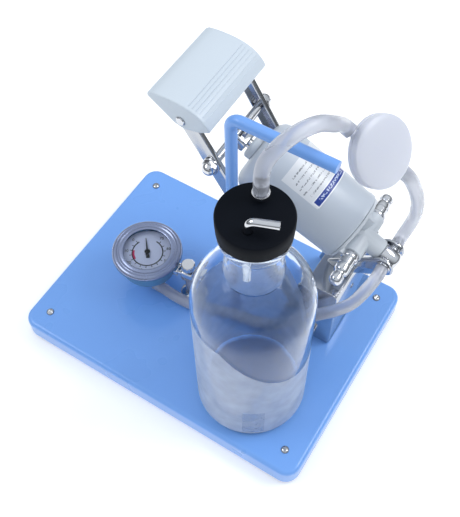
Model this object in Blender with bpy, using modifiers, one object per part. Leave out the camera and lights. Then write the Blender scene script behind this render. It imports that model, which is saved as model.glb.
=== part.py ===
"""Foot-operated suction pump on a base plate, with its bottle, gauge, filter and hoses.

The plate's long edge runs along X and its short edge along Y. The world origin is on the
surface that the rubber feet stand on, under the middle of the plate.
Every size below is in millimetres, and the helpers turn it to metres.
"""
import math

import bmesh
import bpy
from mathutils import Matrix, Vector

MM = 0.001
GAP = 0.3                                # clear space between touching pieces

# Base plate and feet
PLATE_LENGTH, PLATE_WIDTH = 300.0, 220.0
SKIRT_HEIGHT, SHEET = 20.0, 1.5
PLATE_TOP = 25.0                         # top face above the ground
CORNER_RADIUS, EDGE_RADIUS = 14.0, 4.0
FOOT_X, FOOT_Y, FOOT_RADIUS = 130.8, 89.5, 11.0

# Bottle and stopper
BOTTLE_X, BOTTLE_Y = 73.8, -52.4
BOTTLE_RADIUS, BOTTLE_WALL = 48.5, 2.6
STOPPER_TOP = 270.0
NOZZLE_X, NOZZLE_Y = 69.5, -38.5
ELBOW_X, ELBOW_Y = 76.3, -66.0

# Pump: the mid plane, and the three pivots in that plane as (x, height over the plate)
PUMP_Y = 61.5
LEVER_PIVOT = (95.0, 14.0)
CROSS_PIN = (-10.5, 185.5)
TRUNNION = (138.3, 118.9)
TRUNNION_TO_PIN = math.hypot(TRUNNION[0] - CROSS_PIN[0], CROSS_PIN[1] - TRUNNION[1])
LEVER_TILT = math.atan2(CROSS_PIN[0] - LEVER_PIVOT[0], CROSS_PIN[1] - LEVER_PIVOT[1])
BARREL_TILT = math.atan2(CROSS_PIN[0] - TRUNNION[0], CROSS_PIN[1] - TRUNNION[1])
BARREL_START, BARREL_END = 42.0, 142.0   # along the barrel from the trunnion
BARREL_BORE = 28.5
PORT_AT = 28.0                           # the cross ports, along the barrel
PISTON_AT = 54.0

# Lever arms
ARM_OUTER, ARM_DEPTH, ARM_WIDTH = 38.5, 4.5, 15.0
PIN_TO_PIVOT = math.hypot(CROSS_PIN[0] - LEVER_PIVOT[0], CROSS_PIN[1] - LEVER_PIVOT[1])
PEDAL_PIN_AT = 249.0
CHEEK_INNER, CHEEK_OUTER = 38.9, 40.9

# Carrying rod
ROD_RADIUS, ROD_BEND = 4.8, 9.0
ROD_X, ROD_END_X, ROD_Y, ROD_TOP = 15.0, 95.5, 12.0, 266.5

# Gauge
GAUGE_X, GAUGE_Y, GAUGE_TURN = -70.0, -5.5, math.radians(8)
POST_AT = 43.0                           # the gauge post, from the gauge's axis
NEEDLE_TURN = 130.0                      # where the needle points at rest, from +X

# Hoses and filter
HOSE_RADIUS = 5.4
FILTER_IN = Vector((101.9, 31.4, 283.5))
FILTER_OUT = Vector((133.6, 49.6, 246.5))
FILTER_RADIUS = 26.0

for stale in list(bpy.data.objects):
    bpy.data.objects.remove(stale)
PARTS = bpy.data.collections.new("suction_pump")
CUTTERS = bpy.data.collections.new("cutters")
for folder in (PARTS, CUTTERS):
    bpy.context.scene.collection.children.link(folder)


def material(name, colour, roughness, metallic=0.0, alpha=1.0):
    made = bpy.data.materials.new(name)
    made.use_nodes = True
    shader = made.node_tree.nodes["Principled BSDF"]
    shader.inputs["Base Color"].default_value = (*colour, 1.0)
    shader.inputs["Roughness"].default_value = roughness
    shader.inputs["Metallic"].default_value = metallic
    shader.inputs["Alpha"].default_value = alpha
    made.diffuse_color = (*colour, alpha)
    return made


BLUE = material("blue_enamel", (0.22, 0.42, 0.82), 0.35)
STEEL = material("nickel_steel", (0.68, 0.68, 0.70), 0.25, 1.0)
CHROME = material("chrome", (0.82, 0.82, 0.84), 0.12, 1.0)
WHITE = material("white_plastic", (0.78, 0.82, 0.84), 0.42)
BLACK = material("black_rubber", (0.010, 0.014, 0.022), 0.55)
GLASS = material("clear_glass", (0.80, 0.88, 0.92), 0.05, 0.0, 0.35)
SILICONE = material("milky_silicone", (0.72, 0.76, 0.82), 0.35)
DIAL = material("dial_white", (0.85, 0.84, 0.86), 0.5)
GREY = material("gauge_enamel", (0.16, 0.30, 0.45), 0.4)
BRASS = material("brass", (0.72, 0.52, 0.25), 0.3, 1.0)


def at(x, y, height):
    """A world point in metres, from millimetres and a height over the plate's top."""
    return Vector((x, y, PLATE_TOP + height)) * MM


def frame_at(x, y, height, turn=0.0, axis="Y"):
    return Matrix.Translation(at(x, y, height)) @ Matrix.Rotation(turn, 4, axis)


def upright(x, y, height=0.0):
    return frame_at(x, y, height)


LEVER = frame_at(LEVER_PIVOT[0], PUMP_Y, LEVER_PIVOT[1], LEVER_TILT)
BARREL = frame_at(TRUNNION[0], PUMP_Y, TRUNNION[1], BARREL_TILT)
TO_FRONT = Matrix.Rotation(math.radians(90), 4, "X")     # local Z points along -Y
TO_BACK = Matrix.Rotation(math.radians(-90), 4, "X")


def along(frame, distance, sideways=0.0):
    """A frame further along another frame's Z, and to its side along Y."""
    return frame @ Matrix.Translation(Vector((0, sideways, distance)) * MM)


def link(obj, name, mat, folder=None):
    obj.name = name
    obj.data.name = name
    for owner in list(obj.users_collection):
        owner.objects.unlink(obj)
    (folder or PARTS).objects.link(obj)
    obj.data.materials.clear()
    if mat:
        obj.data.materials.append(mat)
    return obj


def baked(obj):
    """Turn a curve, or a mesh with modifiers, into a plain closed mesh in the same place."""
    bpy.context.view_layer.update()
    graph = bpy.context.evaluated_depsgraph_get()
    mesh = bpy.data.meshes.new_from_object(obj.evaluated_get(graph))
    made = bpy.data.objects.new(obj.name, mesh)
    made.matrix_world = obj.matrix_world.copy()
    bpy.context.scene.collection.objects.link(made)
    bpy.data.objects.remove(obj)
    bm = bmesh.new()
    bm.from_mesh(mesh)
    bmesh.ops.remove_doubles(bm, verts=bm.verts, dist=0.00001)
    bm.to_mesh(mesh)
    bm.free()
    return made


def smooth(obj, degrees=35):
    obj.data.shade_smooth()
    obj.data.set_sharp_from_angle(angle=math.radians(degrees))
    return obj


def turned(name, profile, frame, mat, steps=24, ring=False):
    """A turned piece: (radius, height) points that run down the outer side."""
    mesh = bpy.data.meshes.new(name)
    bm = bmesh.new()
    verts = [bm.verts.new((r * MM, 0, z * MM)) for r, z in profile]
    for start, end in zip(verts, verts[1:]):
        bm.edges.new((start, end))
    if ring:
        bm.edges.new((verts[-1], verts[0]))
    bm.to_mesh(mesh)
    bm.free()
    obj = bpy.data.objects.new(name, mesh)
    bpy.context.scene.collection.objects.link(obj)
    screw = obj.modifiers.new("turn", "SCREW")
    screw.steps = steps
    screw.render_steps = steps
    screw.use_merge_vertices = True
    screw.merge_threshold = 0.00001
    obj.matrix_world = frame
    return link(smooth(baked(obj)), name, mat)


def rod(name, frame, start, end, radius, mat, steps=24):
    """A plain round bar along a frame's Z, with small chamfers."""
    edge = min(0.4, radius * 0.2)
    profile = [(0, end), (radius - edge, end), (radius, end - edge)]
    profile += [(radius, start + edge), (radius - edge, start), (0, start)]
    return turned(name, profile, frame, mat, steps)


def block(name, frame, low, high, mat, edge=0.0, segments=2):
    """A box from its low to its high corner in a frame, with rounded edges."""
    low, high = Vector(low) * MM, Vector(high) * MM
    mesh = bpy.data.meshes.new(name)
    bm = bmesh.new()
    bmesh.ops.create_cube(bm, size=1.0)
    bmesh.ops.scale(bm, vec=high - low, verts=bm.verts)
    bmesh.ops.translate(bm, vec=(high + low) / 2, verts=bm.verts)
    bm.to_mesh(mesh)
    bm.free()
    obj = bpy.data.objects.new(name, mesh)
    bpy.context.scene.collection.objects.link(obj)
    obj.matrix_world = frame
    if edge:
        bevel = obj.modifiers.new("edges", "BEVEL")
        bevel.width = edge * MM
        bevel.segments = segments
        obj = baked(obj)
    return link(smooth(obj), name, mat)


def sheet(name, frame, outline, low_y, high_y, mat, holes=()):
    """A flat piece: an (x, z) outline in a frame, as thick as from low_y to high_y."""
    curve = bpy.data.curves.new(name, "CURVE")
    curve.dimensions = "2D"
    curve.fill_mode = "BOTH"
    curve.extrude = (high_y - low_y) / 2 * MM
    loops = [outline]
    for x, z, radius in holes:
        turn = [2 * math.pi * step / 20 for step in range(20)]
        loops.append([(x + radius * math.cos(a), z + radius * math.sin(a)) for a in turn])
    for loop in loops:
        spline = curve.splines.new("POLY")
        spline.points.add(len(loop) - 1)
        for point, (x, z) in zip(spline.points, loop):
            point.co = (x * MM, z * MM, 0, 1)
        spline.use_cyclic_u = True
    obj = bpy.data.objects.new(name, curve)
    bpy.context.scene.collection.objects.link(obj)
    middle = Matrix.Translation((0, (high_y + low_y) / 2 * MM, 0))
    obj.matrix_world = frame @ middle @ Matrix.Rotation(math.radians(90), 4, "X")
    return link(smooth(baked(obj)), name, mat)


def rounded(points, radius, steps=5):
    """A closed outline with each corner rounded by an arc-like curve."""
    outline = []
    count = len(points)
    for index, corner in enumerate(points):
        here = Vector(corner)
        before = Vector(points[index - 1]) - here
        after = Vector(points[(index + 1) % count]) - here
        reach = min(radius, before.length * 0.45, after.length * 0.45)
        start = here + before.normalized() * reach
        end = here + after.normalized() * reach
        for step in range(steps + 1):
            t = step / steps
            bend = start * (1 - t) ** 2 + here * 2 * t * (1 - t) + end * t ** 2
            outline.append((bend.x, bend.y))
    return outline


def boolean(target, tool, operation):
    change = target.modifiers.new(operation.lower(), "BOOLEAN")
    change.operation = operation
    change.object = tool
    tool.hide_render = True
    tool.display_type = "WIRE"
    name = target.name
    mat = target.data.materials[0] if target.data.materials else None
    made = baked(target)
    link(tool, tool.name, None, CUTTERS)
    return link(smooth(made), name, mat)


def cut(target, tool):
    return boolean(target, tool, "DIFFERENCE")


def union(target, *others):
    for other in others:
        target = boolean(target, other, "UNION")
        bpy.data.objects.remove(other)
    return target


def drill(target, frame, start, end, radius, steps=20):
    return cut(target, rod(target.name + "_drill", frame, start, end, radius, None, steps))


def smooth_route(points, spacing):
    """Points at an even spacing on a smooth curve through a route's own points."""
    dense = []
    padded = [2 * points[0] - points[1], *points, 2 * points[-1] - points[-2]]
    for a, b, c, d in zip(padded, padded[1:], padded[2:], padded[3:]):
        for step in range(20):
            t = step / 20
            cubic = (3 * b - a - 3 * c + d) * t ** 3
            square = (2 * a - 5 * b + 4 * c - d) * t ** 2
            dense.append((cubic + square + (c - a) * t + 2 * b) / 2)
    dense.append(points[-1])
    length = sum((q - p).length for p, q in zip(dense, dense[1:]))
    count = max(2, round(length / spacing))
    route, walked, wanted = [dense[0]], 0.0, length / count
    for p, q in zip(dense, dense[1:]):
        step = (q - p).length
        while walked + step >= wanted * len(route) and len(route) < count:
            route.append(p.lerp(q, (wanted * len(route) - walked) / step))
        walked += step
    route.append(dense[-1])
    return route


def tube(name, points, radius, mat, resolution=2):
    """A solid round tube along world points in metres."""
    curve = bpy.data.curves.new(name, "CURVE")
    curve.dimensions = "3D"
    curve.bevel_depth = radius * MM
    curve.bevel_resolution = resolution
    curve.use_fill_caps = True
    spline = curve.splines.new("POLY")
    spline.points.add(len(points) - 1)
    for point, place in zip(spline.points, points):
        point.co = (*place, 1)
    obj = bpy.data.objects.new(name, curve)
    bpy.context.scene.collection.objects.link(obj)
    return link(smooth(baked(obj), 60), name, mat)


def bend_points(corners, radius, steps=8):
    """A route of straight runs with rounded corners, as for a bent rod."""
    route = [corners[0]]
    for before, here, after in zip(corners, corners[1:], corners[2:]):
        start = here + (before - here).normalized() * radius
        end = here + (after - here).normalized() * radius
        turn = (before - here).angle(after - here)
        reach = radius / math.cos(turn / 2)
        centre = here + ((start + end) / 2 - here).normalized() * reach
        for step in range(steps + 1):
            spread = (start - centre).lerp(end - centre, step / steps)
            route.append(centre + spread.normalized() * (start - centre).length)
    route.append(corners[-1])
    return route


def hexagon(name, frame, start, end, across, mat):
    """A hexagonal nut or collar along a frame's Z."""
    bm = bmesh.new()
    mesh = bpy.data.meshes.new(name)
    reach = across / math.sqrt(3) * MM
    height = (end - start) * MM
    bmesh.ops.create_cone(bm, cap_ends=True, segments=6, radius1=reach, radius2=reach, depth=height)
    bmesh.ops.translate(bm, vec=(0, 0, (start + end) / 2 * MM), verts=bm.verts)
    bm.to_mesh(mesh)
    bm.free()
    obj = bpy.data.objects.new(name, mesh)
    bpy.context.scene.collection.objects.link(obj)
    obj.matrix_world = frame
    return link(smooth(obj), name, mat)


def barb(start, length, root, ridge, ridges=2):
    """The outer side of a hose nozzle, from its tip down to its root, in (radius, height)."""
    step = length / ridges
    profile = []
    for index in range(ridges):
        top = start - index * step
        profile += [(root, top), (ridge, top - step * 0.75), (root, top - step * 0.8)]
    profile.append((root, start - length))
    return profile


def base_plate():
    half_x, half_y = PLATE_LENGTH / 2, PLATE_WIDTH / 2

    def tray(name, inset, top, bottom, corner, edge):
        size_x, size_y = half_x - inset, half_y - inset
        low, high = Vector((-size_x, -size_y, bottom)) * MM, Vector((size_x, size_y, top)) * MM
        mesh = bpy.data.meshes.new(name)
        bm = bmesh.new()
        bmesh.ops.create_cube(bm, size=1.0)
        bmesh.ops.scale(bm, vec=high - low, verts=bm.verts)
        bmesh.ops.translate(bm, vec=(high + low) / 2, verts=bm.verts)
        upright_edges = [e for e in bm.edges if abs(e.verts[0].co.z - e.verts[1].co.z) > MM]
        bmesh.ops.bevel(bm, geom=upright_edges, offset=corner * MM, segments=8, profile=0.5, affect="EDGES")
        level = [e for e in bm.edges if all(v.co.z > high.z - 0.0001 for v in e.verts)]
        bmesh.ops.bevel(bm, geom=level, offset=edge * MM, segments=4, profile=0.5, affect="EDGES")
        bm.to_mesh(mesh)
        bm.free()
        obj = bpy.data.objects.new(name, mesh)
        bpy.context.scene.collection.objects.link(obj)
        return link(smooth(obj), name, BLUE)

    bottom = PLATE_TOP - SKIRT_HEIGHT
    pan = tray("base_plate", 0, PLATE_TOP, bottom, CORNER_RADIUS, EDGE_RADIUS)
    inside = tray("pan_inside", SHEET, PLATE_TOP - SHEET, bottom - 5, CORNER_RADIUS - SHEET, 2.5)
    pan = cut(pan, inside)
    for x, y, radius in plate_holes():
        pan = drill(pan, upright(x, y), -10, 10, radius)
    return pan


def corners(reach_x, reach_y):
    return [(sx * reach_x, sy * reach_y) for sx in (-1, 1) for sy in (-1, 1)]


def bracket_bolt_places():
    return [(106.5, PUMP_Y + side * 24.0) for side in (-1, 1)]


def post_place():
    return (GAUGE_X + POST_AT * math.cos(GAUGE_TURN), GAUGE_Y + POST_AT * math.sin(GAUGE_TURN))


def plate_holes():
    holes = [(x, y, 2.4) for x, y in corners(FOOT_X, FOOT_Y)]
    holes += [(x, y, 2.4) for x, y in bracket_bolt_places()]
    holes.append((ROD_X, ROD_Y, ROD_RADIUS + GAP))
    holes.append((*post_place(), 2.4))
    return holes


def screw_piece(name, x, y, top, length):
    """A pan head machine screw with its head on a surface at a height over the plate."""
    profile = [(0, top + 2.0), (2.2, top + 1.9), (3.3, top + 1.2), (3.7, top + GAP), (2.0, top + GAP)]
    profile += [(2.0, top - length + 0.5), (1.5, top - length), (0, top - length)]
    return turned(name, profile, upright(x, y), STEEL, 12)


def feet():
    underside = -SHEET - GAP
    for index, (x, y) in enumerate(corners(FOOT_X, FOOT_Y), start=1):
        profile = [(2.4, underside), (FOOT_RADIUS - 1, underside), (FOOT_RADIUS, underside - 1)]
        profile += [(FOOT_RADIUS - 1.5, -PLATE_TOP + 1), (FOOT_RADIUS - 2.5, -PLATE_TOP), (2.4, -PLATE_TOP)]
        turned(f"rubber_foot_{index}", profile, upright(x, y), BLACK, 24, ring=True)
        screw_piece(f"foot_screw_{index}", x, y, 0, 16)


def carry_rod():
    foot = at(ROD_X, ROD_Y, -SHEET - 10)
    top_start = at(ROD_X, ROD_Y, ROD_TOP)
    top_end = at(ROD_END_X, ROD_Y, ROD_TOP)
    tip = at(ROD_END_X, ROD_Y, ROD_TOP - ROD_BEND - 2.5)
    tube("carry_rod", bend_points([foot, top_start, top_end, tip], ROD_BEND * MM), ROD_RADIUS, BLUE, 5)
    inner = ROD_RADIUS + GAP
    collar = [(inner, 5.0), (6.2, 5.0), (6.8, 4.2), (7.2, GAP), (inner, GAP)]
    turned("rod_collar", collar, upright(ROD_X, ROD_Y), BLUE, 24, ring=True)
    nut = hexagon("rod_nut", upright(ROD_X, ROD_Y), -SHEET - 7, -SHEET - GAP, 15, STEEL)
    drill(nut, upright(ROD_X, ROD_Y), -20, 5, inner)


def bottle():
    radius, wall = BOTTLE_RADIUS, BOTTLE_WALL
    outer = [(18.4, 252.0), (21.5, 253.2), (24.6, 252.2), (25.8, 248.5), (25.2, 244.5), (22.6, 241.0)]
    outer += [(21.6, 237.0), (21.4, 222.0), (21.8, 212.0), (24.0, 208.0)]
    dome = [math.radians(a) for a in (62, 46, 30, 14)]
    outer += [(radius * math.cos(a) ** 0.92, 162 + 47.5 * math.sin(a) ** 1.05) for a in dome]
    outer += [(radius, 158.0), (radius, 80.0), (radius, 5.0), (radius - 1.4, 1.6), (radius - 5, GAP)]
    outer += [(radius - 14, 2.0), (0, 3.0)]
    inner = [(0, 7.0), (radius - 14, 6.0), (radius - 6, 5.6), (radius - wall, 9.0)]
    inner += [(radius - wall, 80.0), (radius - wall, 157.0)]
    inner += [((radius - wall) * math.cos(a) ** 0.92, 160 + 46.0 * math.sin(a) ** 1.05) for a in reversed(dome)]
    inner += [(20.5, 206.5), (18.6, 212.0), (18.3, 222.0), (18.4, 240.0)]
    turned("glass_bottle", outer + inner + [outer[0]], upright(BOTTLE_X, BOTTLE_Y), GLASS, 32)


def stopper():
    top = STOPPER_TOP
    profile = [(0, top), (25.6, top), (27.0, top - 1.2), (26.3, 253.6), (17.6, 253.6), (16.6, 228.0), (0, 228.0)]
    plug = turned("rubber_stopper", profile, upright(BOTTLE_X, BOTTLE_Y), BLACK, 32)
    for x, y, radius in ((NOZZLE_X, NOZZLE_Y, 3.3), (ELBOW_X, ELBOW_Y, 3.1)):
        plug = drill(plug, upright(x, y), 200, 300, radius)
    nozzle = [(2.0, 291.5)] + barb(291.5, 14.0, 3.2, 4.0)
    nozzle += [(5.0, 276.5), (5.4, 274.5), (4.6, 271.5), (4.6, 270.3), (3.0, 270.3), (3.0, 222.0), (2.0, 222.0)]
    turned("suction_nozzle", nozzle, upright(NOZZLE_X, NOZZLE_Y), CHROME, 24, ring=True)
    foot = at(ELBOW_X, ELBOW_Y, 214)
    knee = at(ELBOW_X, ELBOW_Y, 281)
    mouth = at(ELBOW_X + 19.0, ELBOW_Y + 7.5, 281)
    spout = tube("patient_elbow", bend_points([foot, knee, mouth], 5.5 * MM, 6), 2.8, GLASS, 4)
    bore = tube("elbow_bore", bend_points([foot - Vector((0, 0, 0.002)), knee, mouth.lerp(knee, -0.1)],
                                          5.5 * MM, 6), 1.9, None, 4)
    cut(spout, bore)


def bracket():
    ground = GAP
    cheek = [(60, ground), (114, ground), (114, 88), (82, 88)]
    hole = [(LEVER_PIVOT[0], LEVER_PIVOT[1], 5.3)]
    mid = Matrix.Translation(at(0, PUMP_Y, 0))
    front = sheet("pump_bracket", mid, rounded(cheek, 5), -CHEEK_OUTER, -CHEEK_INNER, STEEL, hole)
    back = sheet("cheek_back", mid, rounded(cheek, 5), CHEEK_INNER, CHEEK_OUTER, STEEL, hole)
    web = block("web", mid, (112, -CHEEK_OUTER + 0.5, 3), (114, CHEEK_OUTER - 0.5, 86), STEEL)
    top = block("top", mid, (84, -CHEEK_OUTER + 0.5, 86), (112.6, CHEEK_OUTER - 0.5, 88), STEEL)
    sole = block("sole", mid, (66, -CHEEK_OUTER + 0.5, ground), (112.6, CHEEK_OUTER - 0.5, 2.3), STEEL)
    ear = rounded([(86, 86.5), (111, 86.5), (148, 113), (146, 126), (133, 128)], 6)
    axle = [(TRUNNION[0], TRUNNION[1], 5.3)]
    ears = [sheet("ear", mid, ear, side * 10.5 - 1, side * 10.5 + 1, STEEL, axle) for side in (-1, 1)]
    frame = union(front, back, web, top, sole, *ears)
    for x, y in bracket_bolt_places():
        frame = drill(frame, upright(x, y), -5, 6, 2.4)
    for index, (x, y) in enumerate(bracket_bolt_places(), start=1):
        bolt = hexagon(f"bracket_bolt_{index}", upright(x, y), 2.3 + GAP, 5.2, 7, STEEL)
        union(bolt, rod("shank", upright(x, y), -9.0, 4.0, 2.0, STEEL, 16))
    shaft = along(LEVER, 0) @ TO_FRONT
    rod("lever_shaft", shaft, -46.0, 46.0, 5.0, CHROME)


def lever():
    half = ARM_WIDTH / 2
    for name, side in (("front_arm", -1), ("back_arm", 1)):
        outer, inner = side * ARM_OUTER, side * (ARM_OUTER - ARM_DEPTH)
        low, high = sorted((outer, inner))
        arm = block(name, LEVER, (-half, low, -8.5), (half, high, 258), STEEL, 0.6, 1)
        web = side * (ARM_OUTER - 1.6)
        low, high = sorted((web, inner - side * 3))
        trough = block("trough", LEVER, (-half + 1.6, low, -20), (half - 1.6, high, 270), None)
        arm = cut(arm, trough)
        for height, radius in ((0, 5.3), (PIN_TO_PIVOT, 4.3), (PEDAL_PIN_AT, 4.3)):
            arm = drill(arm, along(LEVER, height) @ TO_FRONT, -60, 60, radius)
    spacer = [(8.0, 33.5), (8.0, -33.5), (5.3, -33.5), (5.3, 33.5)]
    turned("pivot_spacer", spacer, along(LEVER, 0) @ TO_FRONT, STEEL, 24, ring=True)
    rod("cross_pin", along(LEVER, PIN_TO_PIVOT) @ TO_FRONT, -43.5, 43.5, 4.0, CHROME)
    for name, turn in (("front_acorn_nut", TO_FRONT), ("back_acorn_nut", TO_BACK)):
        frame = along(LEVER, PIN_TO_PIVOT) @ turn
        base = ARM_OUTER + GAP
        dome = [(0, base + 10.0), (3.2, base + 9.5), (5.2, base + 8.0), (6.0, base + 6.2), (6.0, base + 3.0)]
        cap = turned("cap", [*dome, (0, base + 3.0)], frame, CHROME, 24)
        rim = [(0, base + 1.6), (7.4, base + 1.4), (7.6, base + 0.9), (7.6, base), (0, base)]
        rim = turned("rim", rim, frame, CHROME, 24)
        nut = union(hexagon(name, frame, base + 1.0, base + 6.0, 12.5, CHROME), cap, rim)
        drill(nut, frame, base - 5, 43.5 + GAP, 4.3)
    pedal()


def pedal():
    mid = Matrix.Translation(at(0, PUMP_Y, 0))
    top = [(-65.5, 238.5), (-62.5, 242.3), (-50, 244.3), (-37, 244.2), (-26, 242), (-17, 237.6), (-10.8, 231)]
    outline = top + [(-9, 226.5), (-18, 222), (-33, 218), (-42, 220.5)]
    inside = [(-63.5, 236.0), (-61.5, 240.2), (-50, 242.1), (-37, 242.0), (-26.6, 239.8), (-18.3, 235.7)]
    inside += [(-12.8, 229.6), (-12.0, 226.0), (-16, 205), (-50, 205)]
    shell = sheet("pedal_cover", mid, rounded(outline, 2, 2), -42, 42, WHITE)
    bevel = shell.modifiers.new("soft", "BEVEL")
    bevel.width = 0.0012
    bevel.segments = 2
    bevel.angle_limit = math.radians(50)
    shell = link(smooth(baked(shell)), "pedal_cover", WHITE)
    hollow = sheet("pedal_hollow", mid, inside, -39.7, 39.7, None)
    shell = cut(shell, hollow)
    pin = along(LEVER, PEDAL_PIN_AT) @ TO_FRONT
    shell = drill(shell, pin, -60, 60, 4.3)
    rod("pedal_pin", pin, -43.2, 43.2, 4.0, CHROME)


def pump_barrel():
    outer = [(9.2, 142), (20, 142), (25, 141.2), (29.4, 138.6), (32.2, 134.6), (33.2, 129.5), (31.2, 44.5)]
    outer += [(30.6, 42.0)]
    inner = [(BARREL_BORE, 42.0), (BARREL_BORE, 136.0), (9.2, 138.0)]
    turned("pump_barrel", outer + inner, BARREL, WHITE, 32, ring=True)
    gland = [(4.3, 149), (9.5, 149), (10.8, 147.6), (10.8, 142.3), (8.9, 142.3), (8.9, 136.0), (4.3, 136.0)]
    turned("rod_gland", gland, BARREL, WHITE, 32, ring=True)
    head()
    piston()


def head():
    plug = BARREL_BORE - GAP
    profile = [(3.0, 51.5), (plug, 51.5), (plug, 42.0 - GAP), (30.2, 42.0 - GAP), (30.2, 39.2), (27, 38.2)]
    profile += [(10.2, 37.2), (9.2, 35.5), (9.0, 9.5), (8.6, 9.0), (3.0, 9.0)]
    body = turned("valve_head", profile, BARREL, WHITE, 32, ring=True)
    cross = rod("cross_port", along(BARREL, PORT_AT) @ TO_FRONT, -22, 22, 8.2, WHITE, 24)
    body = union(body, cross)
    body = drill(body, BARREL, 5, 60, 3.0)
    drill(body, along(BARREL, PORT_AT) @ TO_FRONT, -30, 30, 3.0)
    for name, turn, reach in (("exhaust_fitting", TO_FRONT, 54.0), ("relief_fitting", TO_BACK, 47.8)):
        start = 22 + GAP
        step = (reach - start) / 31.7
        points = [(0, 31.7), (2.6, 31.7), (4.4, 30.2), (5.6, 27.5), (5.6, 23), (4.6, 21.5), (4.6, 20), (6.0, 19)]
        points += [(6.4, 17.5), (6.4, 5.0), (7.4, 4.2), (7.4, 0.0), (0, 0)]
        profile = [(r, start + z * step) for r, z in points]
        fitting = turned(name, profile, along(BARREL, PORT_AT) @ turn, CHROME, 24)
        drill(fitting, along(BARREL, PORT_AT) @ turn, start - 5, start + 16, 3.0)
    hub = [(0, 8.7), (7.6, 8.7), (8.2, 8.0), (8.2, -5.5), (6.5, -8.2), (0, -8.6)]
    tee = turned("suction_tee", hub, BARREL, CHROME, 20)
    run = [(0, 21.0), (2.8, 21.0)] + barb(21.0, 7.5, 3.0, 3.8) + [(3.2, 13.0), (5.0, 12.8), (5.0, 0)]
    run += [(r, -z) for r, z in reversed(run[:-1])]
    tee = union(tee, turned("run", run, BARREL @ TO_FRONT, CHROME, 20))
    tee = drill(tee, BARREL @ TO_FRONT, -40, 40, 2.2)
    drill(tee, BARREL, 0, 20, 2.2)
    flap = [(2.6, 3.0), (7.0, 3.0), (7.0, 1.6), (2.6, 1.6)]
    turned("intake_flap", [(r, 50.5 + z) for r, z in flap], BARREL, BLACK, 24, ring=True)


def piston():
    foot = PISTON_AT + 1.5
    disc = [(4.3, foot + 7), (26.5, foot + 7), (26.5, foot + 4), (24, foot + 4), (24, foot), (4.3, foot)]
    turned("piston_disc", disc, BARREL, WHITE, 32, ring=True)
    cup = [(24.3, foot + 3.7), (27.9, foot + 3.7), (28.2, foot), (24.3, foot)]
    turned("piston_cup", cup, BARREL, BLACK, 40, ring=True)
    rod("piston_rod", BARREL, foot + 0.2, 155.6, 4.0, CHROME)
    pin = TRUNNION_TO_PIN
    fork = block("rod_clevis", BARREL, (-6.5, -8, 151), (6.5, 8, pin + 7), STEEL, 1.2)
    fork = cut(fork, block("fork_slot", BARREL, (-9, -5.2, 156), (9, 5.2, pin + 20), None))
    fork = drill(fork, BARREL, 140, 158, 4.3)
    drill(fork, along(BARREL, pin) @ TO_FRONT, -20, 20, 5.4)
    turns, radius, wire = 7, 21.0, 1.1
    start, end = foot + 7 + wire + GAP, 136.0 - wire - 2.3
    count = turns * 11
    coil = []
    for step in range(count + 1):
        angle = 2 * math.pi * turns * step / count
        height = start + (end - start) * step / count
        local = Vector((radius * math.cos(angle), radius * math.sin(angle), height)) * MM
        coil.append(BARREL @ local)
    tube("return_spring", coil, wire, STEEL, 1)


def gauge():
    place = upright(GAUGE_X, GAUGE_Y)
    case = [(33.4, 46.6), (33.4, 44.4), (28.0, 44.0), (27.0, 43.0), (27.0, 25.5), (25.5, 24.0), (0, 24.0)]
    case += [(0, 25.8), (24.8, 25.8), (25.4, 26.4), (25.4, 46.6)]
    cup = turned("gauge_case", [*case, case[0]], place, GREY, 32)
    stem = Matrix.Rotation(GAUGE_TURN, 4, "Z") @ Matrix.Rotation(math.radians(90), 4, "Y")
    stem = frame_at(GAUGE_X, GAUGE_Y, 35.0) @ stem
    cup = drill(cup, stem, 15, 40, 4.6)
    elbow_y = GAUGE_Y - 7.5
    drill(cup, upright(GAUGE_X, elbow_y), 20, 30, 3.5)
    bezel = [(26.0, 50.6), (28.5, 51.6), (31.5, 50.8), (33.2, 49.0), (33.4, 46.9), (26.0, 46.9)]
    turned("gauge_bezel", bezel, place, CHROME, 32, ring=True)
    lens = [(0, 50.0), (25.4, 49.6), (25.7, 49.2), (25.7, 48.3), (0, 48.3)]
    turned("gauge_lens", lens, place, GLASS, 32)
    dial = [(1.8, 44.4), (25.0, 44.4), (25.0, 43.6), (1.8, 43.6)]
    turned("gauge_dial", dial, place, DIAL, 32, ring=True)
    pointer = rounded([(-1.6, -7), (1.6, -7), (0.9, 2), (0.35, 16), (-0.35, 16), (-0.9, 2)], 0.5, 2)
    flat = frame_at(GAUGE_X, GAUGE_Y, 45.6, math.radians(NEEDLE_TURN + 90), "Z")
    flat = flat @ Matrix.Rotation(math.radians(90), 4, "X")
    needle = sheet("gauge_needle", flat, pointer, -0.3, 0.3, BLACK)
    hub = rod("needle_hub", place, 40.0, 46.8, 1.4, BLACK, 16)
    union(needle, hub)
    movement = block("gauge_movement", place, (-8, -6, 30), (8, 8, 39.6), BRASS, 0.5, 1)
    drill(movement, place, 37, 45, 1.7)
    spiral = []
    for step in range(25):
        angle = math.radians(-60 + 285 * step / 24)
        spiral.append(at(GAUGE_X + 17 * math.cos(angle), GAUGE_Y + 17 * math.sin(angle), 34.0))
    tube("bourdon_tube", spiral, 2.2, BRASS, 2)
    shank = [(0, POST_AT - 6.3), (4.2, POST_AT - 6.3), (4.2, 22.0), (0, 22.0)]
    shank = turned("gauge_stem", shank, stem, CHROME, 24)
    collar = hexagon("stem_collar", stem, 27.6, 33.0, 11, CHROME)
    union(shank, collar)
    post()
    down = [at(GAUGE_X, elbow_y, 28.5), at(GAUGE_X, elbow_y, 5.9), at(GAUGE_X + 17.0, elbow_y, 5.9)]
    tube("gauge_elbow", bend_points(down, 6.5 * MM, 6), 3.1, CHROME, 4)


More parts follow.
